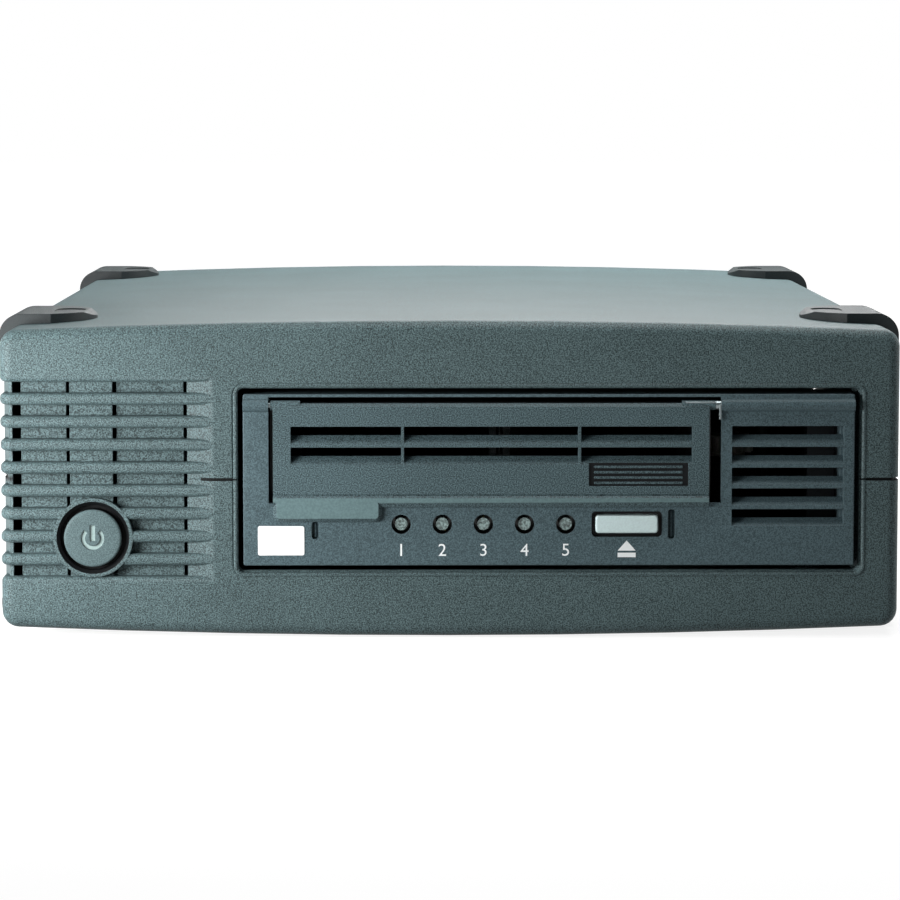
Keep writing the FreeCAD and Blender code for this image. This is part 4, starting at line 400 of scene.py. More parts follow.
@dataclass(frozen=True)
class CircuitBoard(Finish):
    """Solder mask over copper tracks.

    Attributes:
        track: pitch of the tracks, in millimetres.
    """

    track: float = 1.6

    def shade(self, graph: Graph) -> bpy.types.NodeSocket:
        """Green mask, lighter over the tracks and dotted with through holes."""
        bricks = graph.node(
            "ShaderNodeTexBrick",
            {"offset": 0.5},
            {
                "Vector": graph.place(),
                "Color1": (0.0, 0.0, 0.0, 1.0),
                "Color2": (0.25, 0.25, 0.25, 1.0),
                "Mortar": (1.0, 1.0, 1.0, 1.0),
                "Scale": 1000.0 / self.track,
                "Mortar Size": 0.07,
                "Brick Width": 4.5,
                "Row Height": 0.75,
            },
        )
        tracks = graph.red(bricks.outputs[0])
        hole = 0.11 - Signal(graph, graph.crystals(3.2).outputs["Distance"]) > 0.0
        mask = graph.blend(tracks.held(0.0, 1.0), self.colour, scaled(self.colour, 1.9))
        values = {
            "Base Color": graph.blend(hole, mask, tint(196, 170, 96)),
            "Metallic": hole * 0.9,
            "Roughness": 0.3 + graph.noise(1.2, 2.0) * 0.14,
            "Coat Weight": 0.3,
            "Normal": graph.relief(tracks, 0.03, graph.eased(self.edge)),
        }
        return graph.surface(values)


@dataclass(frozen=True)
class ClearPlastic(Finish):
    """Water-clear or frosted moulded lens."""

    def shade(self, graph: Graph) -> bpy.types.NodeSocket:
        """Pale plastic that lets light into itself."""
        swirl = ((graph.noise(0.7, 3.0) - 0.5) * 3.4 + 0.5).held(0.0, 1.0)
        values = {
            "Base Color": graph.tones(swirl, self.colour, 0.35, 1.7),
            "Roughness": 0.15 + swirl * 0.2,
            "Transmission Weight": 0.15,
            "IOR": 1.49,
            "Normal": graph.relief(swirl, 0.05, graph.eased(self.edge)),
        }
        return graph.surface(values)


@dataclass(frozen=True)
class Rubber(Finish):
    """Matt synthetic rubber with a dusty bloom."""

    def shade(self, graph: Graph) -> bpy.types.NodeSocket:
        """Dull colour with a bloom in patches."""
        bloom = graph.noise(5.0, 4.0)
        fine = graph.noise(0.25, 2.0)
        values = {
            "Base Color": graph.tones(bloom * 0.6 + fine * 0.4, self.colour, 0.75, 1.5),
            "Roughness": 0.6 + bloom * 0.25,
            "Specular IOR Level": 0.35,
            "Normal": graph.relief(fine, 0.02, graph.eased(self.edge)),
        }
        return graph.surface(values)


@dataclass(frozen=True)
class Winding(Finish):
    """Enamelled wire wound in close turns.

    Attributes:
        wire: diameter of the wire, in millimetres.
        axis: number of the axis along which the turns lie.
    """

    wire: float = 0.5
    axis: int = 2

    def shade(self, graph: Graph) -> bpy.types.NodeSocket:
        """Round turns side by side, with painted shade darkening the grooves between them."""
        along = graph.axes()[self.axis].cycle(self.wire) * (1.0 / self.wire)
        turn = 4.0 * along * (1.0 - along)
        patch = graph.noise(3.0, 3.0)
        values = {
            # Painted shade: the colour falls to a third in the grooves between turns.
            "Base Color": graph.blend(turn, scaled(self.colour, 0.35), self.colour),
            "Metallic": 0.85,
            "Roughness": 0.28 + patch * 0.2,
            "Normal": graph.relief(turn, self.wire * 0.4, graph.eased(self.edge)),
        }
        return graph.surface(values)


@dataclass(frozen=True)
class PrintedInk(Finish):
    """Pad-printed ink, thin enough to follow the grain below."""

    def shade(self, graph: Graph) -> bpy.types.NodeSocket:
        """Even ink with a faint tooth."""
        tooth = graph.noise(0.4, 2.0)
        values = {
            "Base Color": graph.blend(tooth, scaled(self.colour, 0.9), self.colour),
            "Roughness": 0.45 + tooth * 0.15,
            "Normal": graph.relief(tooth, 0.008, graph.eased(0.05)),
        }
        return graph.surface(values)


def emptied(owner: bpy.types.ID) -> Graph:
    """The empty shader of a material or world."""
    owner.use_nodes = True
    owner.node_tree.nodes.clear()
    return Graph(owner.node_tree)


@lru_cache(maxsize=None)
def material_of(finish: Finish) -> bpy.types.Material:
    """The material of a finish, made once.

    Args:
        finish: the finish.

    Returns:
        Its material.
    """
    material = bpy.data.materials.new(finish.name)
    graph = emptied(material)
    graph.node("ShaderNodeOutputMaterial", None, {"Surface": finish.shade(graph)})
    material.diffuse_color = finish.colour
    return material


class Palette(Enum):
    """Every finish of the drive."""

    CASE = Moulded("case_charcoal", "case_plastic", tint(74, 90, 92), 0.3, 0.5, 0.3, 0.04, 0.7, 0.15)
    FOOT = Moulded(
        "foot_soft_plastic", "foot_rubber", tint(26, 33, 35), 0.25, 0.48, 0.3, 0.02, 0.3, 0.35
    )
    BEZEL = Moulded(
        "bezel_charcoal", "bezel_plastic", tint(72, 89, 94), 0.15, 0.5, 0.28, 0.015, 0.4, 0.15
    )
    DOOR = Moulded("door_charcoal", "door_plastic", tint(72, 89, 93), 0.15, 0.5, 0.28, 0.035, 0.7, 0.15)
    # Smoother grain of the lip and tab, which is real, and a lighter colour, which is painted sheen.
    DOOR_SMOOTH = Moulded(
        "door_polished", "door_plastic", tint(92, 114, 116), 0.2, 0.42, 0.5, 0.006, 0.12, 0.2
    )
    POWER = Moulded(
        "power_button_charcoal", "button_plastic", tint(76, 92, 94), 0.4, 0.45, 0.3, 0.012, 0.3, 0.15
    )
    EJECT = Moulded(
        "eject_button_pale", "button_plastic", tint(196, 215, 215), 0.3, 0.4, 0.4, 0.008, 0.05, 0.2
    )
    DARK = Moulded("black_moulding", "dark_plastic", tint(30, 33, 35), 0.2, 0.45, 0.35, 0.015, 0.25)
    NYLON_DARK = Moulded("black_nylon", "black_nylon", tint(36, 38, 40), 0.2, 0.42, 0.5, 0.01, 0.2)
    NYLON_WHITE = Moulded("white_nylon", "white_nylon", tint(222, 219, 208), 0.2, 0.4, 0.5, 0.01, 0.06)
    LENS = ClearPlastic("indicator_lens", "clear_lens", tint(116, 134, 132), 0.2)
    # Painted shade: a near-black copy of the charcoal plastic for faces in holes and gaps, where shade falls.
    WELL = Moulded("black_well", "bezel_plastic", tint(9, 11, 13), 0.1, 0.6, 0.3, 0.01, 0.2, 0.2)
    SHADOW = Moulded("parting_shadow", "case_plastic", tint(12, 15, 16), 0.1, 0.6, 0.3, 0.01, 0.2, 0.15)
    # Painted highlight: a lighter copy of the button plastic for the glint in the sunk on-off sign.
    SIGN = Moulded(
        "sign_polished", "button_plastic", tint(132, 152, 150), 0.1, 0.35, 0.4, 0.004, 0.08, 0.5
    )
    LABEL = PrintedInk("bare_label", "case_plastic", tint(206, 210, 210), 0.1)
    STEEL = Spangled("zinc_sheet", "sheet_steel", tint(176, 180, 184), 0.15)
    CAST = Metal(
        "cast_alloy", "cast_alloy", tint(168, 170, 172), 0.3, 0.5, 0.5, (1.0, 1.0, 1.0), 0.02, 0.1
    )
    # Painted shade: cast alloy darkened so the parts seen through the grilles read as the unlit inside.
    CAST_DARK = Metal(
        "cast_alloy_black", "cast_alloy", tint(40, 42, 44), 0.3, 0.55, 0.5, (1.0, 1.0, 1.0), 0.02, 0.15
    )
    LID = Spangled("lid_sheet", "sheet_steel", tint(70, 73, 76), 0.15, 5.0, 0.5)
    EXTRUDED = Metal(
        "extruded_alloy", "extruded_alloy", tint(186, 188, 190), 0.15, 0.34, 0.2, (1.0, 14.0, 1.0)
    )
    SCREW = Metal("screw_steel", "screw_steel", tint(160, 160, 158), 0.12, 0.3, 0.2)
    PIN = Metal("ground_steel", "pin_steel", tint(196, 198, 200), 0.1, 0.2, 0.15, (1.0, 1.0, 8.0), 0.004)
    SPRING = Metal(
        "spring_steel", "spring_steel", tint(120, 128, 130), 0.06, 0.34, 0.15, (1.0, 1.0, 1.0), 0.004
    )
    ROLLER = Metal("roller_alloy", "pin_steel", tint(58, 60, 62), 0.15, 0.4, 0.2, (1.0, 1.0, 6.0), 0.004)
    BRASS = Metal("plated_brass", "brass_pins", tint(214, 182, 104), 0.1, 0.25, 0.15)
    BOARD = CircuitBoard("solder_mask", "board_green", tint(26, 74, 48), 0.1)
    BOARD_DARK = CircuitBoard("solder_mask_black", "board_green", tint(16, 22, 20), 0.1)
    FERRITE = Moulded("ferrite", "ferrite", tint(44, 44, 46), 0.25, 0.5, 0.5, 0.01, 0.2)
    SLEEVE = Moulded("can_sleeve", "can_sleeve", tint(28, 34, 58), 0.4, 0.28, 0.8, 0.004, 0.1)
    JACKET = Rubber("lead_jacket", "lead_jacket", tint(34, 34, 36), 0.3)
    CERAMIC = Moulded("head_ceramic", "head_ceramic", tint(88, 80, 72), 0.1, 0.2, 0.3, 0.003, 0.1, 0.7)
    COIL = Winding("copper_winding", "copper_coil", tint(190, 104, 60), 0.1)
    INK = PrintedInk("white_ink", "bezel_plastic", tint(236, 240, 240), 0.05)
    BADGE = PrintedInk("badge_white", "bezel_plastic", tint(240, 243, 243), 0.1)
    PLAQUE = Moulded("plaque_black", "door_plastic", tint(12, 15, 17), 0.1, 0.6, 0.3, 0.01, 0.2, 0.15)


# ---------------------------------------------------------------- working with pieces


def link(name: str, mesh: bpy.types.Mesh) -> bpy.types.Object:
    """Puts a mesh into the scene under a name."""
    made = bpy.data.objects.new(name, mesh)
    bpy.context.scene.collection.objects.link(made)
    return made


def wear(
    piece: bpy.types.Object, finish: Finish, body: str, stands_for: tuple[str, ...] = ()
) -> bpy.types.Object:
    """Gives a piece its finish, its body and the nodes that it stands for.

    Args:
        piece: the piece, in place.
        finish: its finish.
        body: the body that it moves with.
        stands_for: nodes that it replaces.

    Returns:
        The piece.
    """
    if not piece.data.materials:
        piece.data.materials.append(material_of(finish))
    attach(piece, body)
    if stands_for:
        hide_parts(*stands_for)
    LOG.info("%s: %d faces, moves with %s", piece.name, len(piece.data.polygons), body)
    return piece


def piece_of(work: bmesh.types.BMesh, name: str, finish: Palette, body: str, *nodes: str) -> None:
    """Turns a working mesh into a piece on a body, which replaces nodes."""
    wear(link(name, finished_mesh(work, name)), finish.value, body, nodes)


def dress(node: str, finish: Palette) -> None:
    """Gives a node of the frame its finish, and leaves its shape alone."""
    data = frame["nodes"][node].data
    data.materials.clear()
    data.materials.append(material_of(finish.value))
    LOG.info("%s: wears %s", node, finish.value.name)


def evaluated(holder: bpy.types.Object) -> bpy.types.Mesh:
    """The plain mesh that an object comes to."""
    bpy.context.view_layer.update()
    return bpy.data.meshes.new_from_object(holder.evaluated_get(bpy.context.evaluated_depsgraph_get()))


def joined_copy(node: str) -> bmesh.types.BMesh:
    """A copy of a node's mesh with its loose faces joined."""
    work = bmesh.new()
    work.from_mesh(frame["nodes"][node].data)
    bmesh.ops.remove_doubles(work, verts=work.verts, dist=0.002 * MM)
    bmesh.ops.dissolve_degenerate(work, edges=work.edges, dist=JOIN)
    return work


@dataclass(frozen=True)
class Zone:
    """Faces of a piece that have a finish of their own.

    Attributes:
        finish: the finish.
        low: lowest corner of the block that holds the faces' middles, in millimetres.
        high: its highest corner.
        forward: least share of a face's normal that points to the front.
        radius: greatest distance from the block's middle, across the front.
    """

    finish: Palette
    low: Point
    high: Point
    forward: float = -1.0
    radius: float = math.inf

    def holds(self, face: bmesh.types.BMFace) -> bool:
        """Whether a face belongs to the zone."""
        middle = face.calc_center_median() / MM
        inside = all(low < at < high for low, at, high in zip(self.low, middle, self.high))
        across = math.hypot(*(middle[axis] - (self.low[axis] + self.high[axis]) / 2 for axis in (0, 2)))
        return inside and across < self.radius and -face.normal.y >= self.forward


def finished_mesh(work: bmesh.types.BMesh, name: str, crease: float = 30.0) -> bpy.types.Mesh:
    """Turns a working mesh into a shaded one.

    Args:
        work: the working mesh, which is used up.
        name: name of the mesh.
        crease: angle in degrees past which an edge stays sharp.

    Returns:
        The mesh.
    """
    for edge in work.edges:
        edge.smooth = len(edge.link_faces) == 2 and edge.calc_face_angle(math.pi) < math.radians(crease)
    for face in work.faces:
        face.smooth = True
    mesh = bpy.data.meshes.new(name)
    work.to_mesh(mesh)
    work.free()
    spare = mesh.attributes.get("custom_normal")
    if spare is not None:
        mesh.attributes.remove(spare)
    return mesh


def mm_box(node: str) -> tuple[Vector, Vector]:
    """Lowest and highest corner of a node, in millimetres."""
    low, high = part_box(node)
    return low / MM, high / MM


def body_of(node: str) -> str:
    """The body that a node moves with."""
    return frame["nodes"][node]["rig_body"]


def refine(
    node: str, name: str, finish: Palette, zones: tuple[Zone, ...] = (), crease: float = 30.0
) -> bpy.types.Object:
    """Stands a smooth-shaded copy in for a node.

    Args:
        node: the node.
        name: name of the piece.
        finish: its finish.
        zones: faces that have a finish of their own.
        crease: angle in degrees past which an edge stays sharp.

    Returns:
        The piece.
    """
    work = joined_copy(node)
    work.normal_update()
    for face in work.faces:
        face.material_index = next((n for n, zone in enumerate(zones, 1) if zone.holds(face)), 0)
    piece = link(name, finished_mesh(work, name, crease))
    for worn in (finish, *(zone.finish for zone in zones)):
        piece.data.materials.append(material_of(worn.value))
    return wear(piece, finish.value, body_of(node), (node,))


def islands(node: str) -> list[tuple[Vector, Vector]]:
    """Lowest and highest corner, in millimetres, of each separate solid of a node."""
    work = joined_copy(node)
    left = set(work.verts)
    found = []
    while left:
        reached = [left.pop()]
        for vert in reached:
            fresh = {edge.other_vert(vert) for edge in vert.link_edges} & left
            left -= fresh
            reached.extend(fresh)
        points = [vert.co / MM for vert in reached]
        low, high = (Vector(pick(axis) for axis in zip(*points)) for pick in (min, max))
        found.append((low, high))
    work.free()
    return sorted(found, key=lambda box: tuple(round(value, 2) for value in box[0]))


def skin(work: bmesh.types.BMesh, rings: list[list[Point]]) -> None:
    """Closes the space between rings of as many points each, and both ends.

    Args:
        work: the mesh that takes the faces.
        rings: points of each ring in millimetres, from one end to the other.
    """
    loops = [[work.verts.new([value * MM for value in point]) for point in ring] for ring in rings]
    for upper, lower in zip(loops, loops[1:]):
        for step, first in enumerate(upper):
            after = (step + 1) % len(upper)
            work.faces.new((first, lower[step], lower[after], upper[after]))
    work.faces.new(loops[0])
    work.faces.new(reversed(loops[-1]))
    bmesh.ops.recalc_face_normals(work, faces=work.faces)


def lathe(rings: list[Point], steps: int, lobes: int = 6) -> bmesh.types.BMesh:
    """A closed turned shape about the z axis.

    Args:
        rings: radius, height and depth of the lobes of each ring, from one end to the other.
        steps: points round a ring.
        lobes: number of lobes.

    Returns:
        The shape.
    """
    work = bmesh.new()
    loops = []
    for radius, height, lobe in rings:
        loops.append([])
        for step in range(steps):
            angle = math.tau * step / steps
            reach = radius * (1.0 + lobe * math.cos(lobes * angle))
            loops[-1].append((reach * math.cos(angle), reach * math.sin(angle), height))
    skin(work, loops)
    return work


def plate(
    low: tuple[float, float], high: tuple[float, float], radius: float, thick: float, edge: float
) -> bmesh.types.BMesh:
    """A flat plate with round corners and an eased rim, its face at height 0 and its back at -thick.

    Args:
        low: lower left corner, in millimetres.
        high: upper right corner.
        radius: radius of the corners.
        thick: thickness of the plate.
        edge: width of the eased rim.

    Returns:
        The plate, drawn in the xy plane.
    """
    work = bmesh.new()
    loops = []
    for inset, height in ((edge, 0.0), (0.0, -edge), (0.0, -thick)):
        loops.append([])
        for corner, (sx, sy) in enumerate(((1, 1), (-1, 1), (-1, -1), (1, -1))):
            cx = (high[0] if sx > 0 else low[0]) - sx * radius
            cy = (high[1] if sy > 0 else low[1]) - sy * radius
            for step in range(5):
                angle = UPRIGHT * (corner + step / 4)
                reach = radius - inset
                loops[-1].append((cx + reach * math.cos(angle), cy + reach * math.sin(angle), height))
    skin(work, loops)
    return work


def on_front(y: float) -> Matrix:
    """Turns a shape drawn in the xy plane to face the front, with its height 0 at y millimetres."""
    return Matrix.Translation((0.0, y * MM, 0.0)) @ Matrix.Rotation(UPRIGHT, 4, "X")


# ---------------------------------------------------------------- grown pieces


class Grower(Tree):
    """A geometry tree with named inputs, which ends in real geometry with a material."""

    kinds = {float: "Float", int: "Int", Vector: "Vector", bpy.types.Object: "Object"}

    def __init__(self, name: str, sizes: dict[str, object]) -> None:
        """Makes the tree.

        Args:
            name: its name.
            sizes: value of each named input.
        """
        super().__init__(bpy.data.node_groups.new(name, "GeometryNodeTree"))
        face = self.tree.interface
        face.new_socket(name="Geometry", in_out="INPUT", socket_type="NodeSocketGeometry")
        for label, value in sizes.items():
            face.new_socket(name=label, in_out="INPUT", socket_type=f"NodeSocket{self.kinds[type(value)]}")
        face.new_socket(name="Geometry", in_out="OUTPUT", socket_type="NodeSocketGeometry")
        self.sizes = sizes
        self.entry = self.tree.nodes.new("NodeGroupInput")

    def given(self, label: str) -> bpy.types.NodeSocket:
        """The socket of a named input."""
        return self.entry.outputs[label]

    def number(self, label: str) -> Signal:
        """A named input, ready for arithmetic."""
        return Signal(self, self.given(label))

    def index(self) -> Signal:
        """Number of the point."""
        return Signal(self, self.node("GeometryNodeInputIndex").outputs[0])

    def vector(self, x: object = 0.0, y: object = 0.0, z: object = 0.0) -> bpy.types.NodeSocket:
        """A vector from three numbers."""
        return self.node("ShaderNodeCombineXYZ", None, {0: x, 1: y, 2: z}).outputs[0]

    def spread(self, points: object, shape: object, **inputs: object) -> bpy.types.NodeSocket:
        """Puts a shape on points, and returns the instances."""
        values = {"Points": points, "Instance": shape, **inputs}
        return self.node("GeometryNodeInstanceOnPoints", None, values).outputs[0]

    def tube(self, curve: object, radius: object) -> bpy.types.NodeSocket:
        """Sweeps a round wire along curves."""
        real = self.node("GeometryNodeRealizeInstances", None, {0: curve}).outputs[0]
        section = self.node("GeometryNodeCurvePrimitiveCircle", None, {"Resolution": 10, "Radius": radius})
        values = {"Curve": real, "Profile Curve": section.outputs[0], "Fill Caps": True}
        return self.node("GeometryNodeCurveToMesh", None, values).outputs[0]

    def upright(self, shape: bpy.types.NodeSocket, place: Vector) -> bpy.types.NodeSocket:
        """Turns geometry drawn in the xy plane to face the front, and moves it to a place in metres."""
        values = {"Geometry": shape, "Translation": place, "Rotation": (UPRIGHT, 0.0, 0.0)}
        return self.node("GeometryNodeTransform", None, values).outputs[0]

    def piece(self, name: str, finish: Palette, body: str, shape: bpy.types.NodeSocket, *nodes: str) -> None:
        """Ends the tree in a piece on a body, which replaces nodes."""
        grown_piece(name, [self.grow(finish, shape)], finish, body, *nodes)

    def join(self, *parts: bpy.types.NodeSocket) -> bpy.types.NodeSocket:
        """Joins geometry."""
        made = self.node("GeometryNodeJoinGeometry")
        for part in parts:
            self.tree.links.new(part, made.inputs[0])
        return made.outputs[0]

    def grow(self, finish: Palette, shape: bpy.types.NodeSocket, seeds: list | None = None) -> bpy.types.Mesh:
        """Ends the tree and makes its mesh.

        Args:
            finish: finish of the result.
            shape: the tree's last geometry.
            seeds: points that the tree starts from, in millimetres.

        Returns:
            The plain mesh.
        """
        real = self.node("GeometryNodeRealizeInstances", None, {0: shape}).outputs[0]
        worn_values = {"Geometry": real, "Material": material_of(finish.value)}
        worn = self.node("GeometryNodeSetMaterial", None, worn_values)
        exit_node = self.tree.nodes.new("NodeGroupOutput")
        self.tree.links.new(worn.outputs[0], exit_node.inputs[0])
        start = bpy.data.meshes.new(f"{self.tree.name}_points")
        start.from_pydata([Vector(point) * MM for point in seeds or [(0.0, 0.0, 0.0)]], [], [])
        holder = link(f"{self.tree.name}_holder", start)
        modifier = holder.modifiers.new("grow", "NODES")
        modifier.node_group = self.tree
        for item in self.tree.interface.items_tree:
            if item.in_out == "INPUT" and item.name in self.sizes:
                modifier[item.identifier] = self.sizes[item.name]
        mesh = evaluated(holder)
        holder.modifiers.clear()
        bpy.data.objects.remove(holder)
        return mesh


def grown_piece(
    name: str, meshes: list[bpy.types.Mesh], finish: Palette, body: str, *nodes: str
) -> None:
    """Joins grown meshes into one piece.

    Args:
        name: name of the piece.
        meshes: its meshes.
        finish: its finish.
        body: the body that it moves with.
        nodes: nodes that it replaces.
    """
    work = bmesh.new()
    for mesh in meshes:
        work.from_mesh(mesh)
    bmesh.ops.remove_doubles(work, verts=work.verts, dist=JOIN)
    for face in work.faces:
        face.material_index = 0
    piece_of(work, name, finish, body, *nodes)


@dataclass(frozen=True)
class Screws:
    """Screws with a six-lobed recess, which replace a node's plain ones.

    Attributes:
        node: the node that holds them.
        facing: rotation about the x axis that turns a head from the top, in degrees.
        axis: number of the axis along which they lie.
        way: 1 where the heads are at the high end of that axis, and -1 at the low end.
        head: radius of the head, in millimetres.
        tall: height of the head.
        shank: radius of the shank.
        seed: seed of the turns at which they were left.
    """

    node: str
    facing: float
    axis: int
    way: int
    head: float = 2.9
    tall: float = 1.6
    shank: float = 1.5
    seed: int = 3

    def shape(self, length: float) -> bpy.types.Object:
        """One screw, its seat at height 0 and its shank down to -length."""
        top = self.tall
        thread = [(self.shank - 0.12 * (step % 2), -0.4 * step, 0.0) for step in range(int(length / 0.4))]
        rings = [
            (0.95, top - 1.1, 0.13),
            (1.15, top - 0.1, 0.13),
            (1.25, top, 0.1),
            (self.head * 0.72, top, 0.0),
            (self.head * 0.93, top - 0.2, 0.0),
            (self.head, top - 0.6, 0.0),
            (self.head, 0.0, 0.0),
            *thread,
            (self.shank * 0.7, -length, 0.0),
        ]
        return link(f"{self.node}_shape", finished_mesh(lathe(rings, 24), f"{self.node}_shape", 40.0))

    def build(self) -> None:
        """Stands the screws where the node has them."""
        lengths: dict[float, list[Vector]] = {}
        for low, high in islands(self.node):
            middle = (low + high) / 2
            seat = high[self.axis] - self.tall if self.way > 0 else low[self.axis] + self.tall
            middle[self.axis] = seat
            lengths.setdefault(round(high[self.axis] - low[self.axis] - self.tall, 1), []).append(middle)
        meshes = []
        for length, places in lengths.items():
            one = self.shape(length)
            tree = Grower(
                f"{self.node}_{len(meshes)}",
                {
                    "Screw": one,
                    "Facing": math.radians(self.facing),
                    "Seed": self.seed,
                },
            )
            shape = tree.node("GeometryNodeObjectInfo", None, {"Object": tree.given("Screw")})
            stood = tree.spread(
                tree.given("Geometry"), shape.outputs["Geometry"], Rotation=tree.vector(tree.given("Facing"))
            )
            limits = {2: 0.0, 3: 1.05, "Seed": tree.given("Seed")}
            chance = tree.node("FunctionNodeRandomValue", {"data_type": "FLOAT"}, limits)
            turned = tree.node(
                "GeometryNodeRotateInstances",
                None,
                {"Instances": stood, "Rotation": tree.vector(z=chance.outputs[1]), "Local Space": True},
            )
            meshes.append(tree.grow(Palette.SCREW, turned.outputs[0], places))
            bpy.data.objects.remove(one)
        grown_piece(f"{self.node}_lobed", meshes, Palette.SCREW, body_of(self.node), self.node)


# ---------------------------------------------------------------- studio


@dataclass(frozen=True)
class Studio:
    """Camera, floor and lights.

    Attributes:
        eye: place of the camera, in millimetres.
        down: how far it looks down, in degrees.
        turn: how far it looks to the right, in degrees.
        lens: focal length on a 36 mm frame.
        sky: strength of the even light.
        shine: share of the white sky that a gloss shows.
        glow: the floor's own white round the drive, where it is seen.
        paper: how much of the lamps' light the floor throws back.
        reach: distance in millimetres at which the floor is as white as the sky.
        lamps: name, place, aim, size in millimetres and power in watts of each soft lamp.
    """

    eye: Point = (-7.2, -1026.2, 132.4)
    down: float = 5.57
    turn: float = 0.465
    lens: float = 146.4
    sky: float = 0.05
    shine: float = 0.27
    glow: float = 0.84
    paper: float = 0.28
    reach: float = 900.0
    lamps: tuple[tuple, ...] = (
        ("left_softbox", (-215, -270, 62), (-60, -142, 40), (150, 100), 1.1),
        ("rear_softbox", (70, 200, 300), (60, 165, 60), (420, 110), 1.9),
        ("back_softbox", (110, 330, 300), (30, 140, 60), (420, 160), 0.3),
        ("top_softbox", (90, -140, 620), (30, -120, 70), (420, 150), 3.4),
        ("right_side", (700, 150, 260), (110, 30, 40), (420, 420), 1.8),
        ("left_side", (-700, 150, 260), (-110, 30, 40), (420, 420), 1.8),
    )

    def camera(self) -> None:
        """Sets the camera up."""
        data = bpy.data.cameras.new("studio_camera")
        data.lens = self.lens
        data.sensor_width = 36.0
        data.clip_start = 0.05
        data.clip_end = 20.0
        made = bpy.data.objects.new("studio_camera", data)
        bpy.context.scene.collection.objects.link(made)
        made.location = [along * MM for along in self.eye]
        made.rotation_euler = (UPRIGHT - math.radians(self.down), 0.0, math.radians(-self.turn))
        bpy.context.scene.camera = made

    def rays(self, graph: Graph) -> list[Signal]:
        """Whether a ray comes from the camera, through a clear piece or off a gloss."""
        kinds = graph.node("ShaderNodeLightPath").outputs
        return [Signal(graph, kinds[f"Is {kind} Ray"]) for kind in ("Camera", "Transmission", "Glossy")]

    def world(self) -> None:
        """An even sky, white where it is seen directly or in a reflection."""
        world = bpy.data.worlds.new("studio_sky")
        graph = emptied(world)
        direct, through, mirrored = self.rays(graph)
        seen = (direct + through + mirrored * self.shine).held(0.0, 1.0)
        strength = self.sky + seen * (1.0 - self.sky)
        white = graph.blend(mirrored, WHITE, (0.86, 1.0, 1.0, 1.0))
        values = {"Color": white, "Strength": strength}
        sky = graph.node("ShaderNodeBackground", None, values)
        graph.node("ShaderNodeOutputWorld", None, {"Surface": sky.outputs[0]})
        bpy.context.scene.world = world

    def floor(self) -> None:
        """A pale floor that shows white and keeps the drive's shadow."""
        work = bmesh.new()
        bmesh.ops.create_grid(work, x_segments=8, y_segments=8, size=6.0)
        mesh = bpy.data.meshes.new("studio_floor")
        work.to_mesh(mesh)
        work.free()
        made = link("studio_floor", mesh)
        made.location = (0.0, 0.0, -0.0003)
        material = bpy.data.materials.new("studio_paper")
        graph = emptied(material)
        direct, through, mirrored = self.rays(graph)
        seen = (direct + mirrored + through).held(0.0, 1.0)
        fibre = graph.noise(2.0, 3.0)
        tones = [(self.paper * share,) * 3 + (1.0,) for share in (0.96, 1.0)]
        paper = {"Color": graph.blend(fibre, *tones), "Roughness": 1.0}
        matt = graph.node("ShaderNodeBsdfDiffuse", None, paper)
        x, y, _ = graph.axes()
        far = (x * x + y * y) * (1.0 / self.reach**2)
        white = graph.blend(far.held(0.0, 1.0), (self.glow,) * 3 + (1.0,), WHITE)
        glow = graph.node("ShaderNodeEmission", None, {"Color": white, "Strength": seen})
        both = graph.node("ShaderNodeAddShader", None, {0: matt.outputs[0], 1: glow.outputs[0]})
        graph.node("ShaderNodeOutputMaterial", None, {"Surface": both.outputs[0]})
        made.data.materials.append(material)

    def lamp(self, name: str, place: tuple, aim: tuple, size: tuple, power: float) -> None:
        """Adds a soft lamp.

        Args:
            name: its name.
            place: where it stands, in millimetres.
            aim: the point it faces, in millimetres.
            size: its width and height, in millimetres.
            power: its power in watts.
        """
        data = bpy.data.lights.new(name, "AREA")
        data.shape = "RECTANGLE"
        data.size, data.size_y = (length * MM for length in size)
        data.energy = power
        made = bpy.data.objects.new(name, data)
        bpy.context.scene.collection.objects.link(made)
        made.location = [along * MM for along in place]
        facing = Vector(aim) - Vector(place)
        made.rotation_euler = facing.to_track_quat("-Z", "Y").to_euler()

    def build(self) -> None:
        """Sets the whole studio up."""
        bpy.context.scene.view_settings.view_transform = "Standard"
        self.camera()
        self.world()
        self.floor()
        for lamp in self.lamps:
            self.lamp(*lamp)
        LOG.info("studio set up")


# ---------------------------------------------------------------- sub-assemblies


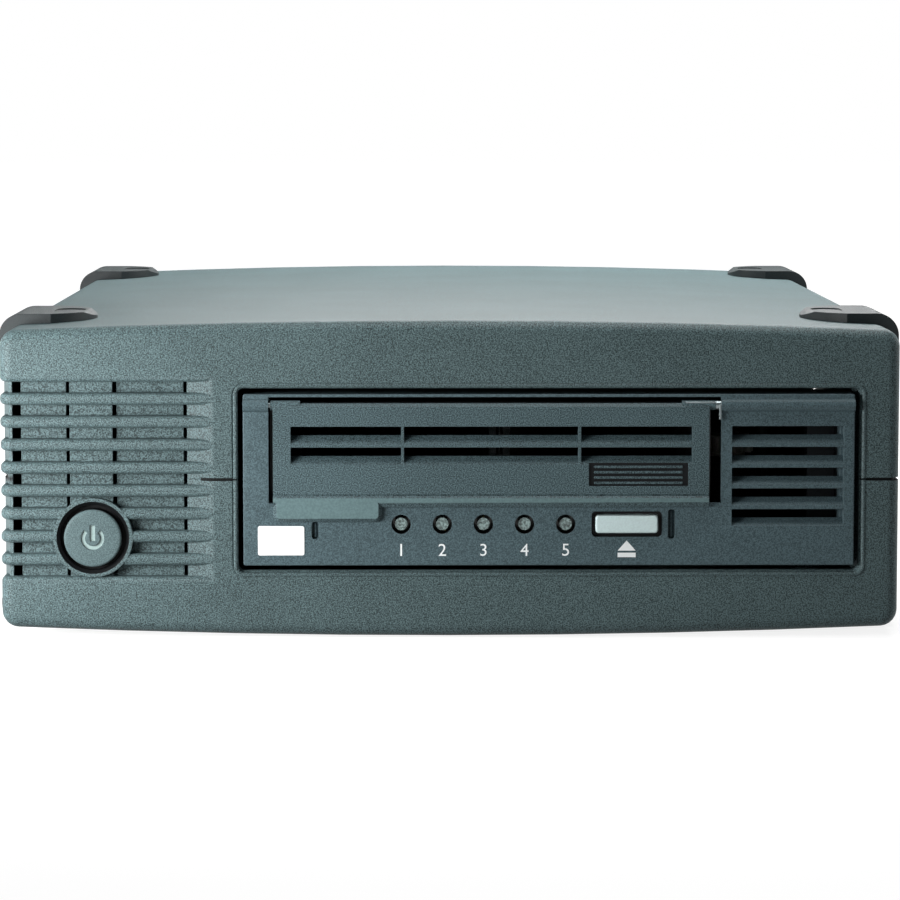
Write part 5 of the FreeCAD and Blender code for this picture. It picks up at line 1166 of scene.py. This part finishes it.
@dataclass(frozen=True)
class Casing:
    """The clamshell, its feet and the power button.

    Attributes:
        sign_reach: half the side of the block that holds the on-off sign, in millimetres.
        sign_face: how far the sign's floor lies below the button's face.
        label: half width, half length, corner and thickness of the bare label below.
        seam: half height of the band about the parting line that lies in shadow.
        rim: left, bottom, right and top of the middle of the bead round the drive's opening.
        rim_wire: radius of that bead.
        rim_corner: radius of its corners.
        rim_sunk: how far its middle lies behind the front.
        rim_gap: half the gap between its halves.
    """

    sign_reach: float = 4.6
    sign_face: float = 0.2
    label: tuple[float, float, float, float] = (34.0, 21.0, 2.5, 0.1)
    seam: float = 0.8
    rim: tuple[float, float, float, float] = (-52.1, 15.7, 100.6, 61.85)
    rim_wire: float = 0.62
    rim_corner: float = 2.0
    rim_sunk: float = 0.35
    rim_gap: float = 0.2

    def build(self) -> None:
        """Dresses the outside of the case."""
        low, high = mm_box("bottom_cover")
        parting = high.z
        left, right = (corner.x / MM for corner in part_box("drive_bezel"))
        near = self.seam
        seams = tuple(
            Zone(Palette.SHADOW, (x0, low.y - 1.0, parting - near), (x1, high.y + 1.0, parting + near))
            for x0, x1 in ((left - 7.5, left), (right, high.x + 1.0), (low.x - 1.0, low.x + 3.0))
        )
        # Painted shade: the case's faces round the power button go near-black.
        collar = self.collar(low.y + 0.15, 8.6)
        refine("top_cover", "top_cover_shell", Palette.CASE, seams)
        refine("bottom_cover", "bottom_cover_shell", Palette.CASE, (*seams, collar))
        refine("top_feet", "top_feet_pads", Palette.FOOT)
        refine("bottom_feet", "bottom_feet_pads", Palette.FOOT)
        self.button()
        self.rating_label()
        self.bay_rim(parting)
        Screws("case_screws", 180.0, 2, -1).build()

    def collar(self, start: float, radius: float) -> Zone:
        """Painted shade, near-black, in the gap round the power button.

        Args:
            start: where it starts along y, in millimetres.
            radius: how far from the button's axis it reaches.

        Returns:
            Its zone.
        """
        low, high = mm_box("power_button")
        x, z = (low.x + high.x) / 2, (low.z + high.z) / 2
        return Zone(
            Palette.WELL,
            (x - radius, start, z - radius),
            (x + radius, start + 6.0, z + radius),
            radius=radius,
        )

    def button(self) -> None:
        """The power button, with the floor of its sunk sign painted lighter as a glint, and painted shade on
        its sides in the gap.
        """
        low, high = mm_box("power_button")
        x, z = (low.x + high.x) / 2, (low.z + high.z) / 2
        reach = self.sign_reach
        # Painted highlight: the sign's floor takes the lighter glint colour.
        floor = Zone(
            Palette.SIGN,
            (x - reach, low.y + self.sign_face, z - reach),
            (x + reach, low.y + 1.0, z + reach),
            0.9,
        )
        refine(
            "power_button", "power_button_cap", Palette.POWER, (floor, self.collar(low.y + 0.7, 9.6))
        )

    def bay_rim(self, parting: float) -> None:
        """A round bead on the edge of the drive's opening, parted where the covers meet.

        Args:
            parting: height of the parting line, in millimetres.
        """
        left, bottom, right, top = self.rim
        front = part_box("top_cover")[0].y / MM
        tree = Grower(
            "bay_rim",
            {
                "Width": (right - left) * MM,
                "Height": (top - bottom) * MM,
                "Corner": self.rim_corner * MM,
                "Bead": self.rim_wire * MM,
            },
        )
        sides = {"Width": tree.given("Width"), "Height": tree.given("Height")}
        frame_line = tree.node("GeometryNodeCurvePrimitiveQuadrilateral", None, sides)
        round_line = tree.node(
            "GeometryNodeFilletCurve",
            {"mode": "POLY"},
            {"Curve": frame_line.outputs[0], "Count": 6, "Radius": tree.given("Corner")},
        )
        place = Vector(((left + right) / 2, front + self.rim_sunk, (bottom + top) / 2)) * MM
        bead = tree.tube(round_line.outputs[0], tree.given("Bead"))
        mesh = tree.grow(Palette.CASE, tree.upright(bead, place))
        halves = []
        for way in (1.0, -1.0):
            work = bmesh.new()
            work.from_mesh(mesh)
            bmesh.ops.remove_doubles(work, verts=work.verts, dist=JOIN)
            cut = bmesh.ops.bisect_plane(
                work,
                geom=[*work.verts, *work.edges, *work.faces],
                plane_co=(0.0, 0.0, (parting + way * self.rim_gap) * MM),
                plane_no=(0.0, 0.0, way),
                clear_inner=True,
            )
            edges = [item for item in cut["geom_cut"] if isinstance(item, bmesh.types.BMEdge)]
            bmesh.ops.holes_fill(work, edges=edges)
            half = bpy.data.meshes.new("bay_rim_half")
            work.to_mesh(half)
            work.free()
            halves.append(half)
        grown_piece("bay_rim_bead", halves, Palette.CASE, "case")

    def rating_label(self) -> None:
        """A bare label on the crowned underside."""
        half, long, corner, thick = self.label
        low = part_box("bottom_cover")[0].z
        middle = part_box("case_screws")
        y = (middle[0].y + middle[1].y) / 2
        work = plate((-half, -long), (half, long), corner, thick, thick / 3)
        bmesh.ops.triangulate(work, faces=[face for face in work.faces if len(face.verts) > 4])
        bmesh.ops.transform(work, matrix=Matrix.Rotation(math.pi, 4, "X"), verts=work.verts)
        bmesh.ops.translate(work, vec=(0.0, y, low - thick * MM), verts=work.verts)
        piece_of(work, "rating_label", Palette.LABEL, "case")


@dataclass(frozen=True)
class DriveFront:
    """The bezel with its door, lenses, eject button and printed marks.

    Attributes:
        badge: left, bottom, right and top of the bare badge, in millimetres.
        cap_height: height of the numerals.
        baseline: height at which they stand.
        ink: thickness of the printing.
        arrow: half width, foot and tip of the eject sign's triangle.
        bar: bottom and top of the bar below it.
        ribs: number of raised lines on the door's plaque.
        rib_pitch: distance between those lines.
        rib: length, depth and height of a line.
        plaque: how far the plaque's sides lie from the door's right end, and its foot and head above the
            door's foot.
        well: how far the painted shade, near-black, round a hole reaches past what fills it.
        spring_arm: left end, height, distance behind the bezel's face and radius of the spring's arm.
    """

    badge: tuple[float, float, float, float] = (-46.7, 20.5, -35.4, 27.7)
    cap_height: float = 2.95
    baseline: float = 20.35
    ink: float = 0.03
    arrow: Point = (2.2, 21.6, 24.1)
    bar: tuple[float, float] = (20.0, 21.1)
    ribs: int = 4
    rib_pitch: float = 1.3
    rib: Point = (21.6, 0.42, 0.6)
    plaque: tuple[float, float, float, float] = (31.0, 6.3, 7.0, 14.0)
    well: float = 1.2
    spring_arm: tuple[float, float, float, float] = (57.0, 57.85, -1.2, 0.2)

    def build(self) -> None:
        """Dresses the drive's front."""
        self.bezel()
        self.door()
        refine("eject_button", "eject_button_cap", Palette.EJECT)
        refine("indicator_lenses", "indicator_lens_domes", Palette.LENS)
        dress("door_hinge_pins", Palette.SPRING)
        refine("door_spring", "door_spring_coil", Palette.SPRING)
        self.arm()
        self.numerals()
        self.eject_sign()
        self.bare_badge()
        self.plaque_lines()

    def face(self) -> float:
        """Distance of the bezel's face from the origin, along y."""
        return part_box("eject_button")[0].y / MM + 0.8

    def bezel(self) -> None:
        """The bezel, with painted shade, near-black, inside its lamp holes and round the eject button."""
        y = self.face() + 0.05
        past = self.well
        # Painted shade: the bezel's faces just inside each hole go near-black.
        hole_shades = tuple(
            Zone(Palette.WELL, (low.x - past, y, low.z - past), (high.x + past, y + 6.0, high.z + past))
            for low, high in [*islands("indicator_lenses"), *islands("eject_button")]
        )
        refine("drive_bezel", "bezel_frame", Palette.BEZEL, hole_shades)

    def door(self) -> None:
        """The door, with a smooth lip and tab painted lighter as a sheen, and a black plaque."""
        low, high = mm_box("cartridge_door")
        # Painted sheen: the lip and tab take a lighter copy of the door plastic.
        lip = Zone(
            Palette.DOOR_SMOOTH, (low.x, low.y - 1.0, low.z), (high.x, low.y + 0.1, high.z), 0.8
        )
        outer, inner, foot, head = self.plaque
        plaque = Zone(
            Palette.PLAQUE,
            (high.x - outer, self.face() - 0.85, low.z + foot),
            (high.x - inner, self.face() + 0.2, low.z + head),
        )
        refine("cartridge_door", "cartridge_door_leaf", Palette.DOOR, (lip, plaque))

    def arm(self) -> None:
        """The arm of the door's spring, which lies along the top of the door."""
        left, z, back, radius = self.spring_arm
        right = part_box("door_spring")[0].x / MM
        y = self.face() + back
        tree = Grower("spring_arm", {"Radius": radius * MM})
        ends = {"Start": Vector((left, y, z)) * MM, "End": Vector((right, y, z)) * MM}
        line = tree.node("GeometryNodeCurvePrimitiveLine", None, ends)
        wire = tree.tube(line.outputs[0], tree.given("Radius"))
        tree.piece("door_spring_arm", Palette.SPRING, "door", wire)

    def numerals(self) -> None:
        """Plain numbers from 1 below the lamps."""
        whole = bmesh.new()
        for number, (low, high) in enumerate(islands("indicator_lenses"), 1):
            curve = bpy.data.curves.new(f"numeral_{number}", "FONT")
            curve.body = str(number)
            curve.extrude = 0.01
            holder = link(curve.name, curve)
            mesh = evaluated(holder)
            bpy.data.objects.remove(holder)
            work = bmesh.new()
            work.from_mesh(mesh)
            bmesh.ops.remove_doubles(work, verts=work.verts, dist=1e-5)
            points = [vert.co for vert in work.verts]
            spans = [[pick(point[axis] for point in points) for pick in (min, max)] for axis in (0, 1)]
            scale = self.cap_height / (spans[1][1] - spans[1][0])
            for vert in work.verts:
                vert.co = (
                    ((vert.co.x - sum(spans[0]) / 2) * scale + (low.x + high.x) / 2) * MM,
                    ((vert.co.y - spans[1][0]) * scale + self.baseline) * MM,
                    (self.ink if vert.co.z > 0 else 0.0) * MM,
                )
            work.transform(on_front(self.face()))
            work.to_mesh(mesh)
            work.free()
            whole.from_mesh(mesh)
        piece_of(whole, "lamp_numerals", Palette.INK, "case")

    def eject_sign(self) -> None:
        """A triangle over a bar, below the eject button."""
        half, foot, tip = self.arrow
        under, over = self.bar
        low, high = mm_box("eject_button")
        x = (low.x + high.x) / 2
        work = bmesh.new()
        outlines = [
            [(x - half, foot), (x + half, foot), (x, tip)],
            [(x - half, under), (x + half, under), (x + half, over), (x - half, over)],
        ]
        for outline in outlines:
            skin(work, [[(*point, height) for point in outline] for height in (self.ink, 0.0)])
        work.transform(on_front(self.face()))
        piece_of(work, "eject_sign", Palette.INK, "case")

    def bare_badge(self) -> None:
        """A bare white badge with round corners."""
        left, bottom, right, top = self.badge
        work = plate((left, bottom), (right, top), 0.5, 0.15, 0.05)
        work.transform(on_front(self.face() - 0.15))
        piece_of(work, "badge_plate", Palette.BADGE, "case")

    def plaque_lines(self) -> None:
        """Raised lines on the door's black plaque."""
        low, high = mm_box("cartridge_door")
        middle = (high.x - 18.65, self.face() - 0.65, low.z + 9.45)
        tree = Grower(
            "plaque_lines",
            {
                "Lines": self.ribs,
                "Pitch": self.rib_pitch * MM,
                "Line": Vector(self.rib) * MM,
            },
        )
        offset = tree.vector(z=tree.given("Pitch"))
        line = tree.node(
            "GeometryNodeMeshLine",
            None,
            {"Count": tree.given("Lines"), "Start Location": Vector(middle) * MM, "Offset": offset},
        )
        bar = tree.node("GeometryNodeMeshCube", None, {"Size": tree.given("Line")})
        mesh = tree.grow(Palette.DOOR, tree.spread(line.outputs[0], bar.outputs[0]))
        work = bmesh.new()
        work.from_mesh(mesh)
        bmesh.ops.bevel(work, geom=list(work.edges), offset=0.12 * MM, segments=2, affect="EDGES")
        work.to_mesh(mesh)
        work.free()
        grown_piece("plaque_ribbing", [mesh], Palette.DOOR, "door")


@dataclass(frozen=True)
class Rear:
    """The rear panel's fan guard, sockets and screws.

    Attributes:
        wire: radius of the guard's wire, in millimetres.
        rings: radii of its outer ring and step to the next.
        eye: radius of the loops round its screws.
        contacts: number of contacts in a row of the data socket.
    """

    wire: float = 0.58
    rings: tuple[float, float] = (27.35, 6.154)
    eye: float = 2.2
    contacts: int = 13

    def build(self) -> None:
        """Builds and dresses the rear."""
        self.guard()
        self.contact_rows()
        Screws("rear_panel_screws", -90.0, 1, 1, seed=5).build()
        Screws("fan_screws", -90.0, 1, 1, seed=8).build()

    def guard(self) -> None:
        """Rings and arms of round wire, with a loop at each screw."""
        low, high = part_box("fan_guard")
        middle = (low + high) / 2
        corners = islands("fan_screws")
        reach = (corners[-1][0].x - corners[0][0].x) / 2 * MM
        tree = Grower(
            "fan_guard_wires",
            {
                "Rings": 3,
                "Outer radius": self.rings[0] * MM,
                "Step": self.rings[1] * MM,
                "Wire": self.wire * MM,
                "Reach": reach,
                "Eye": self.eye * MM,
            },
        )
        nought = Vector((0.0, 0.0, 0.0))
        spots = tree.node("GeometryNodeMeshLine", None, {"Count": tree.given("Rings"), "Offset": nought})
        circle = tree.node("GeometryNodeCurvePrimitiveCircle", None, {"Resolution": 72, "Radius": 1.0})
        size = tree.number("Outer radius") - tree.index() * tree.number("Step")
        rings = tree.spread(spots.outputs[0], circle.outputs[0], Scale=size.socket)
        arms = tree.node("GeometryNodeMeshLine", None, {"Count": 2, "Offset": nought})
        wide = tree.number("Reach") * math.sqrt(2) - tree.number("Eye")
        ends = {"Start": tree.vector(0.0 - wide), "End": tree.vector(wide)}
        bar = tree.node("GeometryNodeCurvePrimitiveLine", None, ends)
        lean = tree.vector(z=tree.index() * math.radians(90.0) + math.radians(45.0))
        crossed = tree.spread(arms.outputs[0], bar.outputs[0], Rotation=lean)
        across = tree.number("Reach") * 2.0
        square = {"Size X": across, "Size Y": across, "Vertices X": 2, "Vertices Y": 2}
        grid = tree.node("GeometryNodeMeshGrid", None, square)
        loop = tree.node(
            "GeometryNodeCurvePrimitiveCircle", None, {"Resolution": 20, "Radius": tree.given("Eye")}
        )
        eyes = tree.spread(grid.outputs[0], loop.outputs[0])
        wires = tree.tube(tree.join(rings, crossed, eyes), tree.given("Wire"))
        tree.piece("fan_guard_rings", Palette.PIN, "case", tree.upright(wires, middle), "fan_guard")

    def contact_rows(self) -> None:
        """Gold contacts on both faces of the data socket's tongue."""
        low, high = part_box("data_socket_contacts")
        pitch = (high.x - low.x) / self.contacts
        size = Vector((pitch * 0.55, (high.y - low.y) * 0.6, 0.14 * MM))
        tree = Grower(
            "data_contacts",
            {
                "Contacts": self.contacts,
                "Pitch": pitch,
                "Contact": size,
            },
        )
        offset = tree.vector(tree.given("Pitch"))
        bar = tree.node("GeometryNodeMeshCube", None, {"Size": tree.given("Contact")})
        rows = []
        for z in (low.z, high.z):
            start = Vector((low.x + pitch / 2, high.y - size.y / 2 - 0.3 * MM, z))
            line = tree.node(
                "GeometryNodeMeshLine",
                None,
                {"Count": tree.given("Contacts"), "Start Location": start, "Offset": offset},
            )
            rows.append(tree.spread(line.outputs[0], bar.outputs[0]))
        tree.piece("data_socket_gold_rows", Palette.BRASS, "case", tree.join(*rows))


@dataclass(frozen=True)
class BoardParts:
    """Small parts soldered to the face of a board, laid out on a grid.

    Attributes:
        board: the board's node.
        along: number of the board's second axis, 1 where it lies flat and 2 where it stands.
        pitch: distance between chips, in millimetres.
        chip: half the side of a chip.
        share: share of the places that are filled.
        seed: seed of that choice.
    """

    board: str
    along: int
    pitch: float = 13.0
    chip: float = 3.4
    share: float = 0.6
    seed: int = 21

    def chip_body(self) -> bmesh.types.BMesh:
        """A flat black package."""
        work = plate((-self.chip, -self.chip), (self.chip, self.chip), 0.4, 1.0, 0.15)
        bmesh.ops.translate(work, vec=(0.0, 0.0, 1.25 * MM), verts=work.verts)
        return work

    def chip_legs(self) -> bmesh.types.BMesh:
        """Two rows of legs, bent down to the board."""
        work = bmesh.new()
        legs, wide, thick = 7, 0.17, 0.15
        for leg in range(legs):
            y = (leg - (legs - 1) / 2) * self.chip * 1.7 / (legs - 1)
            for way in (-1, 1):
                loops = []
                for out, z in ((-0.2, 0.8), (0.5, 0.8), (0.9, 0.15), (1.4, 0.15)):
                    corners = ((-wide, 0.0), (wide, 0.0), (wide, -thick), (-wide, -thick))
                    loops.append([(way * (self.chip + out), y + at, z + up) for at, up in corners])
                skin(work, loops)
        return work

    def resistors(self) -> bmesh.types.BMesh:
        """Four flat resistors in a group, halfway between chips."""
        work = bmesh.new()
        half = self.pitch / 2
        for dx in (-1.3, 1.3):
            for dy in (-0.9, 0.9):
                x, y = half + dx, half + dy
                one = plate((x - 0.8, y - 0.4), (x + 0.8, y + 0.4), 0.1, 0.5, 0.06)
                bmesh.ops.translate(one, vec=(0.0, 0.0, 0.5 * MM), verts=one.verts)
                spare = bpy.data.meshes.new("resistor")
                one.to_mesh(spare)
                one.free()
                work.from_mesh(spare)
        return work

    def build(self) -> None:
        """Builds the parts on the board."""
        low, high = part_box(self.board)
        wide, deep = high.x - low.x, high[self.along] - low[self.along]
        columns, rows = (max(1, int(size / MM / self.pitch - 0.4)) for size in (wide, deep))
        middle = (low + high) / 2
        if self.along == 1:
            turn = Matrix.Translation((middle.x, middle.y, high.z))
        else:
            turn = Matrix.Translation((middle.x, low.y, middle.z)) @ Matrix.Rotation(UPRIGHT, 4, "X")
        kinds = (
            ("chips", self.chip_body(), Palette.DARK),
            ("chip_legs", self.chip_legs(), Palette.SCREW),
            ("resistors", self.resistors(), Palette.CERAMIC),
        )
        for kind, work, finish in kinds:
            name = f"{self.board}_{kind}"
            one = link(f"{name}_shape", finished_mesh(work, f"{name}_shape"))
            tree = Grower(
                name,
                {
                    "Part": one,
                    "Pitch": self.pitch * MM,
                    "Columns": columns,
                    "Rows": rows,
                    "Share": self.share,
                    "Seed": self.seed,
                },
            )
            sides = [tree.number("Pitch") * (tree.number(label) - 1.0) for label in ("Columns", "Rows")]
            grid = tree.node(
                "GeometryNodeMeshGrid",
                None,
                {
                    "Size X": sides[0],
                    "Size Y": sides[1],
                    "Vertices X": tree.given("Columns"),
                    "Vertices Y": tree.given("Rows"),
                },
            )
            chosen = tree.node(
                "FunctionNodeRandomValue",
                {"data_type": "BOOLEAN"},
                {"Probability": tree.given("Share"), "Seed": tree.given("Seed")},
            )
            shape = tree.node("GeometryNodeObjectInfo", None, {"Object": tree.given("Part")})
            stood = tree.spread(grid.outputs[0], shape.outputs["Geometry"], Selection=chosen.outputs[3])
            mesh = tree.grow(finish, stood)
            mesh.transform(turn)
            bpy.data.objects.remove(one)
            grown_piece(name, [mesh], finish, body_of(self.board))


@dataclass(frozen=True)
class Insides:
    """Everything inside the case and on its back panel."""

    wearing = (
        (Palette.STEEL, "rear_panel"),
        (Palette.DARK, "fan_frame fan_rotor power_inlet"),
        (Palette.BRASS, "inlet_pins"),
        (Palette.STEEL, "data_socket_shell"),
        (Palette.NYLON_DARK, "data_socket_contacts"),
        (Palette.BOARD, "interface_board supply_board"),
        (Palette.SLEEVE, "supply_capacitors"),
        (Palette.EXTRUDED, "supply_heatsink"),
        (Palette.FERRITE, "supply_transformer"),
        (Palette.STEEL, "supply_tray"),
        (Palette.DARK, "power_switch"),
        # Painted shade: the chassis, and the rails and loader motor below, are darkened so the inside reads
        # unlit.
        (Palette.CAST_DARK, "drive_chassis"),
        (Palette.LID, "drive_lid"),
        (Palette.ROLLER, "deck_pins"),
        (Palette.NYLON_DARK, "drive_connector"),
        (Palette.BOARD_DARK, "front_board"),
        (Palette.BOARD, "main_board"),
        (Palette.BRASS, "board_spacers"),
        (Palette.DARK, "eject_switch"),
        (Palette.NYLON_DARK, "cartridge_tray"),
        (Palette.CAST_DARK, "tray_rails loader_motor"),
        (Palette.NYLON_WHITE, "loader_pinion"),
        (Palette.NYLON_DARK, "take_up_reel"),
        (Palette.CAST, "take_up_motor"),
        (Palette.PIN, "leader_hook"),
        (Palette.NYLON_WHITE, "supply_clutch"),
        (Palette.CAST, "supply_motor"),
        (Palette.ROLLER, "guide_roller_1 guide_roller_2 guide_roller_3 guide_roller_4"),
        (Palette.CAST, "head_carriage"),
        (Palette.FERRITE, "head_magnet"),
        (Palette.COIL, "head_coil"),
        (Palette.CERAMIC, "tape_head"),
        (Palette.CASE, "intake_baffle"),
        (Palette.JACKET, "data_lead mains_lead drive_supply_lead"),
    )

    def build(self) -> None:
        """Dresses each node."""
        for finish, nodes in self.wearing:
            for node in nodes.split():
                refine(node, f"{node}_finished", finish)
        BoardParts("main_board", 1).build()
        BoardParts("interface_board", 2, pitch=10.0, chip=2.6, seed=24).build()
        Screws("drive_screws", 180.0, 2, -1, seed=11).build()
        Screws("lid_screws", 0.0, 2, 1, seed=14).build()


def main() -> None:
    """Builds the studio and the sub-assemblies in order."""
    logging.basicConfig(level=logging.INFO, format="%(message)s")
    Studio().build()
    Casing().build()
    DriveFront().build()
    Rear().build()
    Insides().build()


if __name__ == "__main__":
    main()
